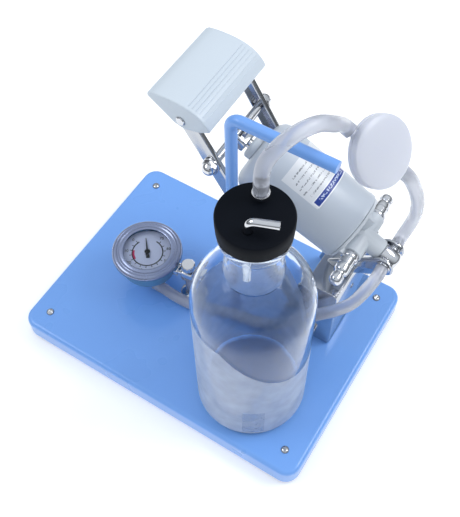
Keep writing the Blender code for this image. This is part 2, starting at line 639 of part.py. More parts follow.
def post():
    x, y = post_place()
    place = upright(x, y) @ Matrix.Rotation(GAUGE_TURN, 4, "Z")
    column = [(0, 29.5), (4.5, 29.5), (4.5, 3.6), (9.0, 2.8), (9.5, 2.0), (9.5, GAP), (1.9, GAP)]
    column += [(1.9, -9), (0, -9)]
    body = turned("gauge_post", column, place, CHROME, 24)
    cube = block("valve_cube", place, (-6, -6, 28.5), (6, 6, 41.5), CHROME, 1.2)
    body = union(body, cube)
    body.name = "gauge_post"
    head_points = []
    for step in range(48):
        angle = 2 * math.pi * step / 48
        reach = 6.1 + 0.7 * math.cos(8 * angle)
        head_points.append((reach * math.cos(angle), reach * math.sin(angle)))
    flat = frame_at(x, y, 48.0) @ Matrix.Rotation(math.radians(90), 4, "X")
    knob = sheet("vacuum_knob", flat, head_points, -3.6, 3.6, CHROME)
    neck = rod("knob_neck", place, 41.5 + GAP, 46.0, 3.0, CHROME, 20)
    union(knob, neck)


def filter_pod():
    middle = (FILTER_IN + FILTER_OUT) / 2
    run = (FILTER_OUT - FILTER_IN).normalized()
    steep = Vector((-0.120, 0.856, 0.509))
    face = run.cross(steep).normalized()
    side = face.cross(run)
    turn = Matrix((run, side, face)).transposed().to_4x4()
    place = Matrix.Translation(at(*middle)) @ turn
    reach = FILTER_RADIUS
    back = [(0, -0.2), (reach - 3.2, -0.2), (reach - 3.2, -1.7), (reach - 1, -1.6), (reach, -2.6), (reach, -4.4)]
    back += [(reach - 4, -5.8), (0, -8.2)]
    shell = turned("filter_back", back, place, WHITE, 32)
    axis = place @ Matrix.Rotation(math.radians(90), 4, "Y") @ Matrix.Translation(Vector((0, 0, 0)))
    axis = axis @ Matrix.Translation(Vector((4.6, 0, 0)) * MM)
    for way in (-1, 1):
        low, high = sorted((way * (reach - 6), way * (reach + 6)))
        shell = union(shell, rod("port", axis, low, high, 3.2, None, 20))
    front = [(0, 8.2), (reach - 4, 5.8), (reach, 4.4), (reach, -1.0), (reach - 0.6, -1.3), (reach - 2.7, -1.3)]
    front += [(reach - 2.7, 1.2), (0, 1.2)]
    turned("filter_front", front, place, WHITE, 32)
    return run, face


def hoses(run, face):
    lower = face * -4.6
    middle = (FILTER_IN + FILTER_OUT) / 2 + lower
    start_out = middle + run * (FILTER_RADIUS + 1.0)
    end_in = middle - run * (FILTER_RADIUS + 1.0)
    bottle_hose = [(69.5, -38.5, 277.0), (69.5, -38.5, 285.0), (69.6, -38.5, 293.0), (71.0, -37.6, 304.0)]
    bottle_hose += [(75.5, -33.5, 315.5), (82.5, -23.0, 324.0)]
    bottle_hose += [(90.0, -8.0, 323.5), (95.0, 7.0, 312)]
    route = [Vector(p) for p in bottle_hose] + [end_in - run * 9, end_in]
    hollow_tube("bottle_hose", route, (15.2, 7.5))
    pump_hose = [(139.5, 61.0, 223.5), (142.6, 70.5, 202), (144.0, 80.0, 179), (143.6, 87.5, 158)]
    pump_hose += [(142.2, 93.0, 141), (140.4, 92.5, 128), (138.5, 86.5, 119.4), (138.3, 82.0, 118.9)]
    route = [start_out, start_out + run * 9] + [Vector(p) for p in pump_hose]
    route.append(Vector((TRUNNION[0], PUMP_Y + 13.6, TRUNNION[1])))
    hollow_tube("pump_hose", route, (7.5, 8.2))
    gauge_hose = [(138.3, 44.0, 118.9), (138.3, 39.5, 118.9), (136.2, 27.5, 115.2), (130.4, 14.5, 105.0)]
    gauge_hose += [(120.0, 8.0, 92.5), (108.2, 5.4, 78.5)]
    gauge_hose += [(94.0, 5.2, 58.0), (80.0, 5.6, 35.5), (65.0, 5.0, 17.5), (48.0, 2.8, 8.0), (31.0, 0.2, 6.0)]
    gauge_hose += [(14.0, -4.0, 5.9), (-3.0, -9.6, 5.9), (-21.0, -13.9, 5.9), (-40.0, -14.0, 5.9)]
    gauge_hose += [(-48.0, -13.0, 5.9), (-54.0, -13.0, 5.9)]
    route = [Vector((TRUNNION[0], PUMP_Y - 13.6, TRUNNION[1]))] + [Vector(p) for p in gauge_hose]
    route.append(Vector((GAUGE_X + 9.5, GAUGE_Y - 7.5, 5.9)))
    hollow_tube("gauge_hose", route, (8.2, 9.0))


def hollow_tube(name, route, depths):
    """A hose with blind bores at its ends, where it is pushed over its nozzles."""
    points = [at(*p) for p in smooth_route(route, 11.0)]
    hose = tube(name, points, HOSE_RADIUS, SILICONE, 2)
    for end, inner, depth in ((points[0], points[1], depths[0]), (points[-1], points[-2], depths[1])):
        turn = (inner - end).to_track_quat("Z", "Y").to_matrix().to_4x4()
        hose = drill(hose, Matrix.Translation(end) @ turn, -3.0, depth, 4.5, 16)


base_plate()
feet()
carry_rod()
bottle()
stopper()
bracket()
lever()
pump_barrel()
gauge()
hoses(*filter_pod())

origins = {"lever_axis": at(LEVER_PIVOT[0], PUMP_Y, LEVER_PIVOT[1]), "swing_axis": at(TRUNNION[0], PUMP_Y, TRUNNION[1]),
           "needle_axis": at(GAUGE_X, GAUGE_Y, 45.0), "knob_axis": at(*post_place(), 45.0)}
for label, spot in origins.items():
    mark = bpy.data.objects.new(label, None)
    mark.location = spot
    mark.empty_display_size = 0.02
    PARTS.objects.link(mark)
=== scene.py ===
"""A foot suction pump: blue tray, glass bottle, pedal lever, tilting pump, gauge, filter and hoses."""

import math

import bpy
from mathutils import Matrix, Vector


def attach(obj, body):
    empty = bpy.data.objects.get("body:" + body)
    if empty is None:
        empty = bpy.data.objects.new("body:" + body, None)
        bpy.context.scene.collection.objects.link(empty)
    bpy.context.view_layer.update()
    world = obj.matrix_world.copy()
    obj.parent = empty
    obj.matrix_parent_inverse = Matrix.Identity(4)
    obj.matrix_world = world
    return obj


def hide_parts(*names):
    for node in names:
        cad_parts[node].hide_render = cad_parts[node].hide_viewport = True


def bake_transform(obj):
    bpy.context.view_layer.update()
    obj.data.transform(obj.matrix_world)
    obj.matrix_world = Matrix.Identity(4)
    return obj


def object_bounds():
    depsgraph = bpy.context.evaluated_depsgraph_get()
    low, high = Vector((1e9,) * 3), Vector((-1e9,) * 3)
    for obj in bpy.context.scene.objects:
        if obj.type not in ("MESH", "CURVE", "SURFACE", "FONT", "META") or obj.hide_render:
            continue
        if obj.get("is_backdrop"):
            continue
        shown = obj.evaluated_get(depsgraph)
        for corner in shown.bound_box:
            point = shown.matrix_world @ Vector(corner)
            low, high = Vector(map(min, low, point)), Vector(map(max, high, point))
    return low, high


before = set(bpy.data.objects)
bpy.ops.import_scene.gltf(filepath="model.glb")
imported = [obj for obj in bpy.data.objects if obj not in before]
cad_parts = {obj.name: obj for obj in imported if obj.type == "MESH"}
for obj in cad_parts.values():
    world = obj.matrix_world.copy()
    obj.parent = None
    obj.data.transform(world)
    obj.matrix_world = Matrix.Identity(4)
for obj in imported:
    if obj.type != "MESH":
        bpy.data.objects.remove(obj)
cad_low, cad_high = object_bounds()

# The camera looks down on the tray's front right corner from a little over arm's length.
# It has a long lens and a small shift, so that the pump sits a little high and right.
bpy.ops.object.select_all(action="DESELECT")
bpy.ops.object.camera_add(location=(0.22520, -0.31584, 0.72548))
camera = bpy.context.object
camera.name = "camera"
turn = Matrix.Rotation(math.radians(31.877), 4, "Z")
tilt = Matrix.Rotation(math.radians(90 - 57.198), 4, "X")
roll = Matrix.Rotation(math.radians(-0.275), 4, "Z")
camera.matrix_world = Matrix.Translation(camera.location) @ turn @ tilt @ roll
camera.data.lens = 57.2
camera.data.shift_x = -0.0175
camera.data.shift_y = -0.0182
bpy.context.scene.camera = camera
bpy.context.scene.view_settings.view_transform = "Standard"

# The bench is a white board, and the light is a pale ceiling with two large soft boxes.
# The walls are dark, so polished metal has something to show beside the board and ceiling.
bpy.ops.mesh.primitive_plane_add(size=8.0, location=(0, 0, -0.0005))
bench = bpy.context.object
bench.name = "bench"
white_board = bpy.data.materials.new("white_board")
white_board.use_nodes = True
board_shader = white_board.node_tree.nodes["Principled BSDF"]
board_shader.inputs["Base Color"].default_value = (0.95, 0.95, 0.95, 1)
board_shader.inputs["Roughness"].default_value = 0.9
board_shader.inputs["Emission Color"].default_value = (1, 1, 1, 1)
board_shader.inputs["Emission Strength"].default_value = 0.30
bench.data.materials.append(white_board)
bench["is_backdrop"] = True
room = bpy.data.worlds.new("pale_room")
bpy.context.scene.world = room
room.use_nodes = True
room.node_tree.nodes["Background"].inputs["Color"].default_value = (0.88, 0.94, 1.0, 1)
way = room.node_tree.nodes.new("ShaderNodeTexCoord")
rise = room.node_tree.nodes.new("ShaderNodeSeparateXYZ")
glow = room.node_tree.nodes.new("ShaderNodeMapRange")
for key, value in (("From Min", 0.10), ("From Max", 0.70), ("To Min", 0.14), ("To Max", 0.84)):
    glow.inputs[key].default_value = value
room.node_tree.links.new(way.outputs["Generated"], rise.inputs[0])
room.node_tree.links.new(rise.outputs["Z"], glow.inputs["Value"])
room.node_tree.links.new(glow.outputs["Result"], room.node_tree.nodes["Background"].inputs["Strength"])
for label, place, size, power in (("left_box", (-0.9, -0.5, 1.3), 0.8, 4.5),
                                  ("right_box", (0.9, 0.6, 1.4), 0.7, 9.0)):
    bpy.ops.object.light_add(type="AREA", location=place)
    box = bpy.context.object
    box.name = label
    box.data.shape = "RECTANGLE"
    box.data.size = size
    box.data.size_y = size * 0.7
    box.data.energy = power
    box.rotation_euler = (Vector((0, 0, 0.12)) - Vector(place)).to_track_quat("-Z", "Y").to_euler()


# Three milky silicone hoses of one size, soft and pushed on over barbs. They are extruded,
# so they are smooth, and let some light through. One runs from the bottle to the filter,
# one from the filter to the pump, and one from the pump along the tray to the gauge.
def spot(x, y, height):
    """A place from millimetres, with its height over the tray's top face."""
    return Vector((x, y, 25.0 + height)) * 0.001


def linear(code):
    """An sRGB hex colour as linear red, green, blue and alpha."""
    parts = [int(code[i:i + 2], 16) / 255 for i in (1, 3, 5)]
    return [*(p / 12.92 if p <= 0.04045 else ((p + 0.055) / 1.055) ** 2.4 for p in parts), 1.0]


def add_node(material, kind, links, **settings):
    """Adds a node; links gives each named input a value, or another node's output."""
    made = material.node_tree.nodes.new(kind)
    for key, value in settings.items():
        setattr(made, key, value)
    for key, value in links.items():
        if isinstance(value, bpy.types.NodeSocket):
            material.node_tree.links.new(value, made.inputs[key])
        else:
            made.inputs[key].default_value = value
    return made


def finish_of(name, code, roughness, metallic=0.0, grain=1.5, depth=0.00001, spread=0.06, tint=0.04):
    """A finish with a faint unevenness: grain is its size in mm, and depth its height in metres."""
    made = bpy.data.materials.new(name)
    made.use_nodes = True
    shader = made.node_tree.nodes["Principled BSDF"]
    shader.inputs["Metallic"].default_value = metallic
    where = add_node(made, "ShaderNodeTexCoord", {}).outputs["Object"]
    noise = add_node(made, "ShaderNodeTexNoise", {"Vector": where, "Scale": 1000 / grain, "Detail": 3.0})
    slow = add_node(made, "ShaderNodeTexNoise", {"Vector": where, "Scale": 18.0, "Detail": 2.0})
    rough = add_node(made, "ShaderNodeMapRange",
                     {"Value": slow.outputs["Fac"], "From Min": 0.3, "From Max": 0.7,
                                                  "To Min": roughness - spread, "To Max": roughness + spread})
    base = linear(code)
    dark = [c * (1 - tint) for c in base[:3]] + [1.0]
    mix = add_node(made, "ShaderNodeMix", {"Factor": slow.outputs["Fac"]}, data_type="RGBA")
    mix.inputs[6].default_value = dark
    mix.inputs[7].default_value = base
    bump = add_node(made, "ShaderNodeBump",
                    {"Height": noise.outputs["Fac"], "Strength": 0.5, "Distance": depth})
    made.node_tree.links.new(rough.outputs["Result"], shader.inputs["Roughness"])
    made.node_tree.links.new(mix.outputs[2], shader.inputs["Base Color"])
    made.node_tree.links.new(bump.outputs["Normal"], shader.inputs["Normal"])
    return made, shader


def paint(piece, material, body, *nodes):
    """Gives a piece its finish, the body it rides on and the plain pieces it stands for."""
    piece.data.materials.clear()
    piece.data.materials.append(material)
    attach(piece, body)
    if nodes:
        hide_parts(*nodes)


def smooth_route(points, spacing):
    """Evenly spaced points on a smooth curve through a route's own points."""
    padded = [2 * points[0] - points[1], *points, 2 * points[-1] - points[-2]]
    dense = []
    for a, b, c, d in zip(padded, padded[1:], padded[2:], padded[3:]):
        for step in range(20):
            t = step / 20
            cubic = (3 * b - a - 3 * c + d) * t ** 3
            square = (2 * a - 5 * b + 4 * c - d) * t ** 2
            dense.append((cubic + square + (c - a) * t + 2 * b) / 2)
    dense.append(points[-1])
    length = sum((q - p).length for p, q in zip(dense, dense[1:]))
    count = max(2, round(length / spacing))
    route, walked, wanted = [dense[0]], 0.0, length / count
    for p, q in zip(dense, dense[1:]):
        step = (q - p).length
        while walked + step >= wanted * len(route) and len(route) < count:
            route.append(p.lerp(q, (wanted * len(route) - walked) / step))
        walked += step
    route.append(dense[-1])
    return route


def bent_tube(name, points, radius, roundness=8):
    """A round tube or rod along places in metres, as a curve."""
    bpy.ops.object.select_all(action="DESELECT")
    bpy.ops.curve.primitive_nurbs_path_add(location=(0, 0, 0))
    piece = bpy.context.object
    piece.name = name
    piece.data.splines.clear()
    run = piece.data.splines.new("POLY")
    run.points.add(len(points) - 1)
    for knot, place in zip(run.points, points):
        knot.co = (*place, 1)
    run.use_smooth = True
    piece.data.bevel_depth = radius
    piece.data.bevel_resolution = roundness
    piece.data.use_fill_caps = True
    return piece


silicone, shader = finish_of("milky_silicone_rubber", "#e6e9f3", 0.24, grain=2.0, depth=0.00002)
shader.inputs["Transmission Weight"].default_value = 0.60
shader.inputs["IOR"].default_value = 1.41
shader.inputs["Subsurface Weight"].default_value = 0.25
shader.inputs["Subsurface Radius"].default_value = (0.004, 0.004, 0.004)
filter_in = Vector((101.9, 31.4, 283.5))
filter_out = Vector((133.6, 49.6, 246.5))
filter_run = (filter_out - filter_in).normalized()
filter_face = filter_run.cross(Vector((-0.120, 0.856, 0.509))).normalized()
port_middle = (filter_in + filter_out) / 2 - filter_face * 4.6
hose_in = port_middle - filter_run * 27.0
hose_out = port_middle + filter_run * 27.0
routes = {
    "bottle_hose": [(69.5, -38.5, 277.0), (69.5, -38.5, 285.0), (69.6, -38.5, 293.0), (71.0, -37.6, 304.0),
                    (75.5, -33.5, 315.5), (82.5, -23.0, 324.0), (90.0, -8.0, 323.5), (95.0, 7.0, 312),
                    hose_in - filter_run * 9, hose_in],
    "pump_hose": [hose_out, hose_out + filter_run * 9, (139.5, 61.0, 223.5), (142.6, 70.5, 202),
                  (144.0, 80.0, 179),
                  (143.6, 87.5, 158), (142.2, 93.0, 141), (140.4, 92.5, 128), (138.5, 86.5, 119.4),
                  (138.3, 82.0, 118.9), (138.3, 75.1, 118.9)],
    "gauge_hose": [(138.3, 47.9, 118.9), (138.3, 44.0, 118.9), (138.3, 39.5, 118.9), (136.2, 27.5, 115.2),
                   (130.4, 14.5, 105.0), (120.0, 8.0, 92.5), (108.2, 5.4, 78.5), (94.0, 5.2, 58.0),
                   (80.0, 5.6, 35.5), (65.0, 5.0, 17.5), (48.0, 2.8, 8.0), (31.0, 0.2, 6.0),
                   (14.0, -4.0, 5.9),
                   (-3.0, -9.6, 5.9), (-21.0, -13.9, 5.9), (-40.0, -14.0, 5.9), (-48.0, -13.0, 5.9),
                   (-54.0, -13.0, 5.9), (-60.5, -13.0, 5.9)],
}
hoses = {}
for label, corners in routes.items():
    line = smooth_route([spot(*corner) for corner in corners], 0.004)
    hose = bent_tube(label + "_skin", line, 0.0054)
    paint(hose, silicone, "base", label)
    hoses[label] = (hose, line)


# The tray is one sheet of 1.5 mm steel, pressed with rounded corners and a turned-down
# skirt, and sprayed with light blue enamel that pools to a soft gloss.
def pick(piece, kind, test):
    """Selects, in edit mode, a piece's edges or faces by where their corners are."""
    if bpy.context.mode != "OBJECT":
        bpy.ops.object.mode_set(mode="OBJECT")
    bpy.ops.object.select_all(action="DESELECT")
    bpy.context.view_layer.objects.active = piece
    piece.select_set(True)
    bpy.ops.object.mode_set(mode="EDIT")
    bpy.ops.mesh.select_mode(type=kind)
    bpy.ops.mesh.select_all(action="DESELECT")
    bpy.ops.object.mode_set(mode="OBJECT")
    mesh = piece.data
    for part in (mesh.edges if kind == "EDGE" else mesh.polygons):
        part.select = test([mesh.vertices[i].co for i in part.vertices])
    bpy.ops.object.mode_set(mode="EDIT")


def settle(piece, place=None, sharp=35):
    """Puts a piece's place into its mesh and shades it smooth up to a sharp angle."""
    bpy.ops.object.select_all(action="DESELECT")
    bpy.context.view_layer.objects.active = piece
    piece.select_set(True)
    if place is not None:
        piece.matrix_world = place @ piece.matrix_world
        bpy.context.view_layer.update()
    bpy.ops.object.transform_apply(location=True, rotation=True, scale=True)
    bpy.ops.object.shade_smooth_by_angle(angle=math.radians(sharp))
    return piece


def soften(piece, width, segments=3, angle=30):
    """Rounds a piece's edges by a width in millimetres."""
    bpy.context.view_layer.objects.active = piece
    bevel = piece.modifiers.new("rounded_edges", "BEVEL")
    bevel.width = width * 0.001
    bevel.segments = segments
    bevel.angle_limit = math.radians(angle)
    bevel.harden_normals = False
    bpy.ops.object.modifier_apply(modifier=bevel.name)
    return piece


def brick(name, low, high, place=None, edge=0.0):
    """A block between two corners in millimetres, with its edges rounded."""
    low, high = Vector(low) * 0.001, Vector(high) * 0.001
    bpy.ops.object.select_all(action="DESELECT")
    bpy.ops.mesh.primitive_cube_add(size=1, location=(low + high) / 2)
    piece = bpy.context.object
    piece.name = name
    piece.scale = high - low
    bpy.ops.object.transform_apply(location=True, rotation=True, scale=True)
    if edge:
        soften(piece, edge)
    return settle(piece, place)


def bore(piece, *cutters, join=False):
    """Cuts pieces out of another, or joins them to it, and removes them."""
    for cutter in cutters:
        bpy.context.view_layer.objects.active = piece
        change = piece.modifiers.new("cut", "BOOLEAN")
        change.operation = "UNION" if join else "DIFFERENCE"
        change.object = cutter
        bpy.ops.object.modifier_apply(modifier=change.name)
        bpy.data.objects.remove(cutter)
    return settle(piece)


tray_enamel, shader = finish_of("light_blue_enamel", "#7ab0fb", 0.30, grain=0.9, depth=0.000012, tint=0.05)
shader.inputs["Coat Weight"].default_value = 0.35
shader.inputs["Coat Roughness"].default_value = 0.12
tray = brick("tray_shell", (-150, -110, 5), (150, 110, 25))
pick(tray, "EDGE", lambda ends: abs(ends[0].z - ends[1].z) > 0.01)
bpy.ops.mesh.bevel(offset=0.014, segments=14, affect="EDGES")
pick(tray, "EDGE", lambda ends: min(e.z for e in ends) > 0.0249)
bpy.ops.mesh.bevel(offset=0.004, segments=8, affect="EDGES")
pick(tray, "FACE", lambda ends: max(e.z for e in ends) < 0.0051)
bpy.ops.mesh.delete(type="FACE")
bpy.ops.object.mode_set(mode="OBJECT")
wall = tray.modifiers.new("sheet", "SOLIDIFY")
wall.thickness = 0.0015
wall.offset = -1
bpy.ops.object.modifier_apply(modifier=wall.name)
settle(tray)
paint(tray, tray_enamel, "base", "base_plate")


# Four rubber feet, moulded with a slight taper, and the slotted cross-head screws that
# hold them through the tray's corners. The screws are nickel-plated steel.
def lathe(name, profile, place=None, steps=96, edge=0.0):
    """Spins a profile of (radius, height) in millimetres about the place's Z."""
    bpy.ops.object.select_all(action="DESELECT")
    bpy.ops.mesh.primitive_plane_add(size=0.001, location=(0, 0, 0))
    piece = bpy.context.object
    piece.name = name
    bpy.ops.object.mode_set(mode="EDIT")
    bpy.ops.mesh.select_mode(type="VERT")
    bpy.ops.mesh.select_all(action="SELECT")
    bpy.ops.mesh.merge(type="CENTER")
    bpy.ops.transform.translate(value=(profile[0][0] * 0.001, 0, profile[0][1] * 0.001))
    for before, after in zip(profile, profile[1:]):
        step = ((after[0] - before[0]) * 0.001, 0, (after[1] - before[1]) * 0.001)
        bpy.ops.mesh.extrude_region_move(TRANSFORM_OT_translate={"value": step})
    bpy.ops.mesh.select_all(action="SELECT")
    bpy.ops.mesh.spin(steps=steps, angle=2 * math.pi, center=(0, 0, 0), axis=(0, 0, 1))
    bpy.ops.mesh.select_all(action="SELECT")
    bpy.ops.mesh.remove_doubles(threshold=0.000004)
    bpy.ops.mesh.normals_make_consistent(inside=False)
    bpy.ops.object.mode_set(mode="OBJECT")
    if edge:
        soften(piece, edge, 2)
    return settle(piece, place)


def upright(x, y, height=0.0):
    """A place on the tray that stands straight up."""
    return Matrix.Translation(spot(x, y, height))


rubber, shader = finish_of("matt_black_rubber", "#080e18", 0.58, grain=0.7, depth=0.00003, spread=0.05,
                           tint=0.3)
shader.inputs["Specular IOR Level"].default_value = 0.10
nickel = finish_of("nickel_plated_steel", "#c7c9cd", 0.12, 1.0, grain=0.6, depth=0.000004, spread=0.04)[0]
for number, (side_x, side_y) in enumerate(((-1, -1), (-1, 1), (1, -1), (1, 1)), start=1):
    seat = upright(side_x * 130.8, side_y * 89.5)
    foot = [(2.4, -1.8), (10.0, -1.8), (10.7, -2.1), (11.0, -2.9), (9.7, -23.4), (9.2, -24.5), (8.5, -25),
            (2.4, -25)]
    foot = lathe(f"foot_{number}", foot + foot[:1], seat, 48)
    paint(foot, rubber, "base", f"rubber_foot_{number}")
    screw = [(0, 2.1), (1.5, 2.0), (2.8, 1.5), (3.5, 0.8), (3.7, 0.3), (2.0, 0.3), (2.0, -15.5), (1.5, -16),
             (0, -16)]
    screw = lathe(f"corner_screw_{number}", screw, seat, 40)
    turned = seat @ Matrix.Rotation(0.5 + number, 4, "Z")
    bore(screw, brick("slot", (-2.6, -0.4, 1.0), (2.6, 0.4, 3), turned),
         brick("slot", (-0.4, -2.6, 0.97), (0.4, 2.6, 3.1), turned))
    paint(screw, nickel, "base", f"foot_screw_{number}")


# The carrying rod is 9.6 mm steel, bent cold to an L and dip coated in thick blue plastic
# that rounds off its free end. A collar and a nut hold its foot in the tray.
def bend_route(corners, radius, steps=12):
    """Straight runs with rounded corners between them, in metres."""
    route = [corners[0]]
    for before, here, after in zip(corners, corners[1:], corners[2:]):
        start = here + (before - here).normalized() * radius
        end = here + (after - here).normalized() * radius
        half_turn = (before - here).angle(after - here) / 2
        middle = here + ((start + end) / 2 - here).normalized() * radius / math.cos(half_turn)
        for step in range(steps + 1):
            spread = (start - middle).lerp(end - middle, step / steps)
            route.append(middle + spread.normalized() * (start - middle).length)
    route.append(corners[-1])
    return route


def as_mesh(piece):
    """Turns a bent tube into a mesh with its end caps joined on."""
    bpy.ops.object.select_all(action="DESELECT")
    bpy.context.view_layer.objects.active = piece
    piece.select_set(True)
    bpy.ops.object.convert(target="MESH")
    bpy.ops.object.mode_set(mode="EDIT")
    bpy.ops.mesh.select_all(action="SELECT")
    bpy.ops.mesh.remove_doubles(threshold=0.000004)
    bpy.ops.mesh.normals_make_consistent(inside=False)
    bpy.ops.object.mode_set(mode="OBJECT")
    return piece


rod_coat, shader = finish_of("blue_dipped_plastic", "#7cb0fa", 0.34, grain=3.0, depth=0.00006, tint=0.05)
shader.inputs["Coat Weight"].default_value = 0.25
rod_place = upright(15, 12)
rod_line = bend_route([spot(15, 12, -11.5), spot(15, 12, 266.5), spot(100.2, 12, 266.5)], 0.009)
rod = settle(soften(as_mesh(bent_tube("carrying_rod", rod_line, 0.0048, 14)), 2.8, 6, 60))
paint(rod, rod_coat, "base", "carry_rod")
collar = [(5.1, 5.0), (6.0, 5.0), (6.5, 4.6), (7.2, 0.8), (7.2, 0.3), (5.1, 0.3), (5.1, 5.0)]
paint(lathe("rod_foot_collar", collar, rod_place), rod_coat, "base", "rod_collar")
hex_nut = lathe("rod_under_nut", [(5.1, -1.8), (8.6, -1.8), (8.6, -8.5), (5.1, -8.5), (5.1, -1.8)],
                rod_place, 6, 0.3)
paint(hex_nut, nickel, "base", "rod_nut")


# The bottle is blown clear glass of about a litre: a straight body, a round shoulder, a
# short neck and a rolled lip. Its lower part has painted light on a thin shell, up to a slanted edge.
glass, shader = finish_of("blown_clear_glass", "#f1f7ff", 0.03, grain=14.0, depth=0.0002, spread=0.02,
                          tint=0.02)
shader.inputs["Transmission Weight"].default_value = 1.0
shader.inputs["IOR"].default_value = 1.25
bottle_place = upright(73.8, -52.4)
arc = [math.radians(a) for a in range(64, 0, -6)]
shoulder = [(48.5 * math.cos(a) ** 0.92, 162 + 47.5 * math.sin(a) ** 1.05) for a in arc]
inside = [(45.9 * math.cos(a) ** 0.92, 160 + 46.0 * math.sin(a) ** 1.05) for a in reversed(arc)]
outer = [(18.4, 252.0), (19.6, 253.0), (21.5, 253.3), (23.4, 252.9), (24.8, 251.8), (25.6, 250.0),
         (25.8, 248.0)]
outer += [(25.4, 245.8), (24.4, 243.8), (22.8, 241.8), (22.0, 239.4), (21.6, 236.0), (21.4, 222.0),
          (21.6, 214.0)]
outer += [(22.4, 210.0), *shoulder, (48.5, 156.0), (48.5, 6.0), (47.9, 3.0), (46.2, 1.0), (43.5, 0.3),
          (40, 0.6)]
outer += [(34.5, 2.0), (0, 3.0)]
inner = [(0, 7.0), (34.5, 6.0), (42.5, 5.8), (45.2, 7.0), (45.9, 10.0), (45.9, 154.0), *inside]
inner += [(20.6, 206.5), (18.9, 212.0), (18.3, 222.0), (18.4, 240.0), (18.4, 252.0)]
bottle = lathe("bottle_body", outer + inner, bottle_place, 128)
paint(bottle, glass, "base", "glass_bottle")
# Painted light: a whitish veil over the lower glass, thinner in a strip that faces the front.
painted_glass_light = bpy.data.materials.new("painted_light_veil")
painted_glass_light.use_nodes = True
shader = painted_glass_light.node_tree.nodes["Principled BSDF"]
shader.inputs["Base Color"].default_value = linear("#dfeaff")
shader.inputs["Roughness"].default_value = 0.6
where = add_node(painted_glass_light, "ShaderNodeTexCoord", {}).outputs["Object"]
place = add_node(painted_glass_light, "ShaderNodeMapping",
                 {"Vector": where, "Location": (-0.0738, 0.0524, -0.025)}).outputs["Vector"]
faced = add_node(painted_glass_light, "ShaderNodeMapping",
                 {"Vector": place, "Rotation": (0, 0, math.radians(-33))}).outputs["Vector"]
axes = add_node(painted_glass_light, "ShaderNodeSeparateXYZ", {"Vector": faced})
cloud = add_node(painted_glass_light, "ShaderNodeTexNoise", {"Vector": where, "Scale": 55.0, "Detail": 4.0})
veil = add_node(painted_glass_light, "ShaderNodeMapRange", {"Value": cloud.outputs["Fac"], "From Min": 0.3, "From Max": 0.7,
                                              "To Min": 0.30, "To Max": 0.46})
wide = add_node(painted_glass_light, "ShaderNodeMath", {0: axes.outputs["X"]}, operation="ABSOLUTE")
inside_width = add_node(painted_glass_light, "ShaderNodeMath", {0: wide.outputs[0], 1: 0.0095}, operation="LESS_THAN")
off_height = add_node(painted_glass_light, "ShaderNodeMath", {0: axes.outputs["Z"], 1: 0.030}, operation="SUBTRACT")
tall = add_node(painted_glass_light, "ShaderNodeMath", {0: off_height.outputs[0]}, operation="ABSOLUTE")
inside_height = add_node(painted_glass_light, "ShaderNodeMath", {0: tall.outputs[0], 1: 0.021}, operation="LESS_THAN")
near_side = add_node(painted_glass_light, "ShaderNodeMath", {0: axes.outputs["Y"], 1: 0.0}, operation="LESS_THAN")
panel = add_node(painted_glass_light, "ShaderNodeMath", {0: inside_width.outputs[0], 1: inside_height.outputs[0]},
                 operation="MULTIPLY")
panel = add_node(painted_glass_light, "ShaderNodeMath", {0: panel.outputs[0], 1: near_side.outputs[0]},
                 operation="MULTIPLY")
# The painted light is made thinner in the strip that faces the front.
clearing = add_node(painted_glass_light, "ShaderNodeMath", {0: panel.outputs[0], 1: -0.10}, operation="MULTIPLY")
total = add_node(painted_glass_light, "ShaderNodeMath", {0: veil.outputs["Result"], 1: clearing.outputs[0]},
                 operation="ADD")
lean = add_node(painted_glass_light, "ShaderNodeVectorMath", {0: place, 1: (1.108, 0.005, 1.0)}, operation="DOT_PRODUCT")
under = add_node(painted_glass_light, "ShaderNodeMath", {0: lean.outputs["Value"], 1: 0.1497}, operation="LESS_THAN")
kept = add_node(painted_glass_light, "ShaderNodeMath", {0: total.outputs[0], 1: under.outputs[0]}, operation="MULTIPLY")
painted_glass_light.node_tree.links.new(kept.outputs[0], shader.inputs["Alpha"])
# The thin shell that carries the painted light, just outside the glass.
band = lathe("painted_light_shell", [(48.65, 150.0), (48.65, 6.0), (48.3, 6.0), (48.3, 150.0), (48.65, 150.0)],
             bottle_place, 128)
paint(band, painted_glass_light, "base")

# The stopper is one moulded plug of black rubber, bored for two tubes. The straight nozzle
# is turned brass with chrome plate and carries the hose; the bent one is chromed tube.
plug = [(0, 269.9), (25.2, 270.0), (26.4, 269.6), (27.0, 268.6), (26.9, 262.0), (26.4, 253.9), (17.8, 253.6)]
plug += [(17.2, 246.0), (16.4, 244.0), (0, 244.0)]
plug = lathe("stopper_body", plug, bottle_place, 128)
bore(plug, lathe("hole", [(0, 300), (3.4, 300), (3.4, 200), (0, 200)], upright(69.5, -38.5), 32),
     lathe("hole", [(0, 300), (3.2, 300), (3.2, 200), (0, 200)], upright(76.3, -66), 32))
paint(plug, rubber, "base", "rubber_stopper")
chrome = finish_of("chrome_plate", "#dcdde1", 0.10, 1.0, grain=2.0, depth=0.00001, spread=0.03, tint=0.03)[0]
barbed = [(2.0, 291.5), (2.8, 291.5), (4.1, 288.8), (4.1, 288.2), (3.3, 288.0), (4.1, 285.2), (4.1, 284.6),
          (3.3, 284.4)]
barbed += [(3.3, 276.6), (4.2, 276.4), (5.9, 276.2), (6.3, 275.6), (6.3, 273.4), (5.7, 272.8), (4.6, 272.6),
           (4.6, 270.3)]
barbed += [(3.0, 270.3), (3.0, 222.0), (2.0, 222.0), (2.0, 291.5)]
paint(lathe("hose_nozzle", barbed, upright(69.5, -38.5), 64), chrome, "base", "suction_nozzle")
elbow_line = bend_route([spot(76.3, -66, 214), spot(76.3, -66, 281), spot(95.3, -58.5, 281)], 0.0055)
elbow = as_mesh(bent_tube("patient_tube", elbow_line, 0.0029, 10))
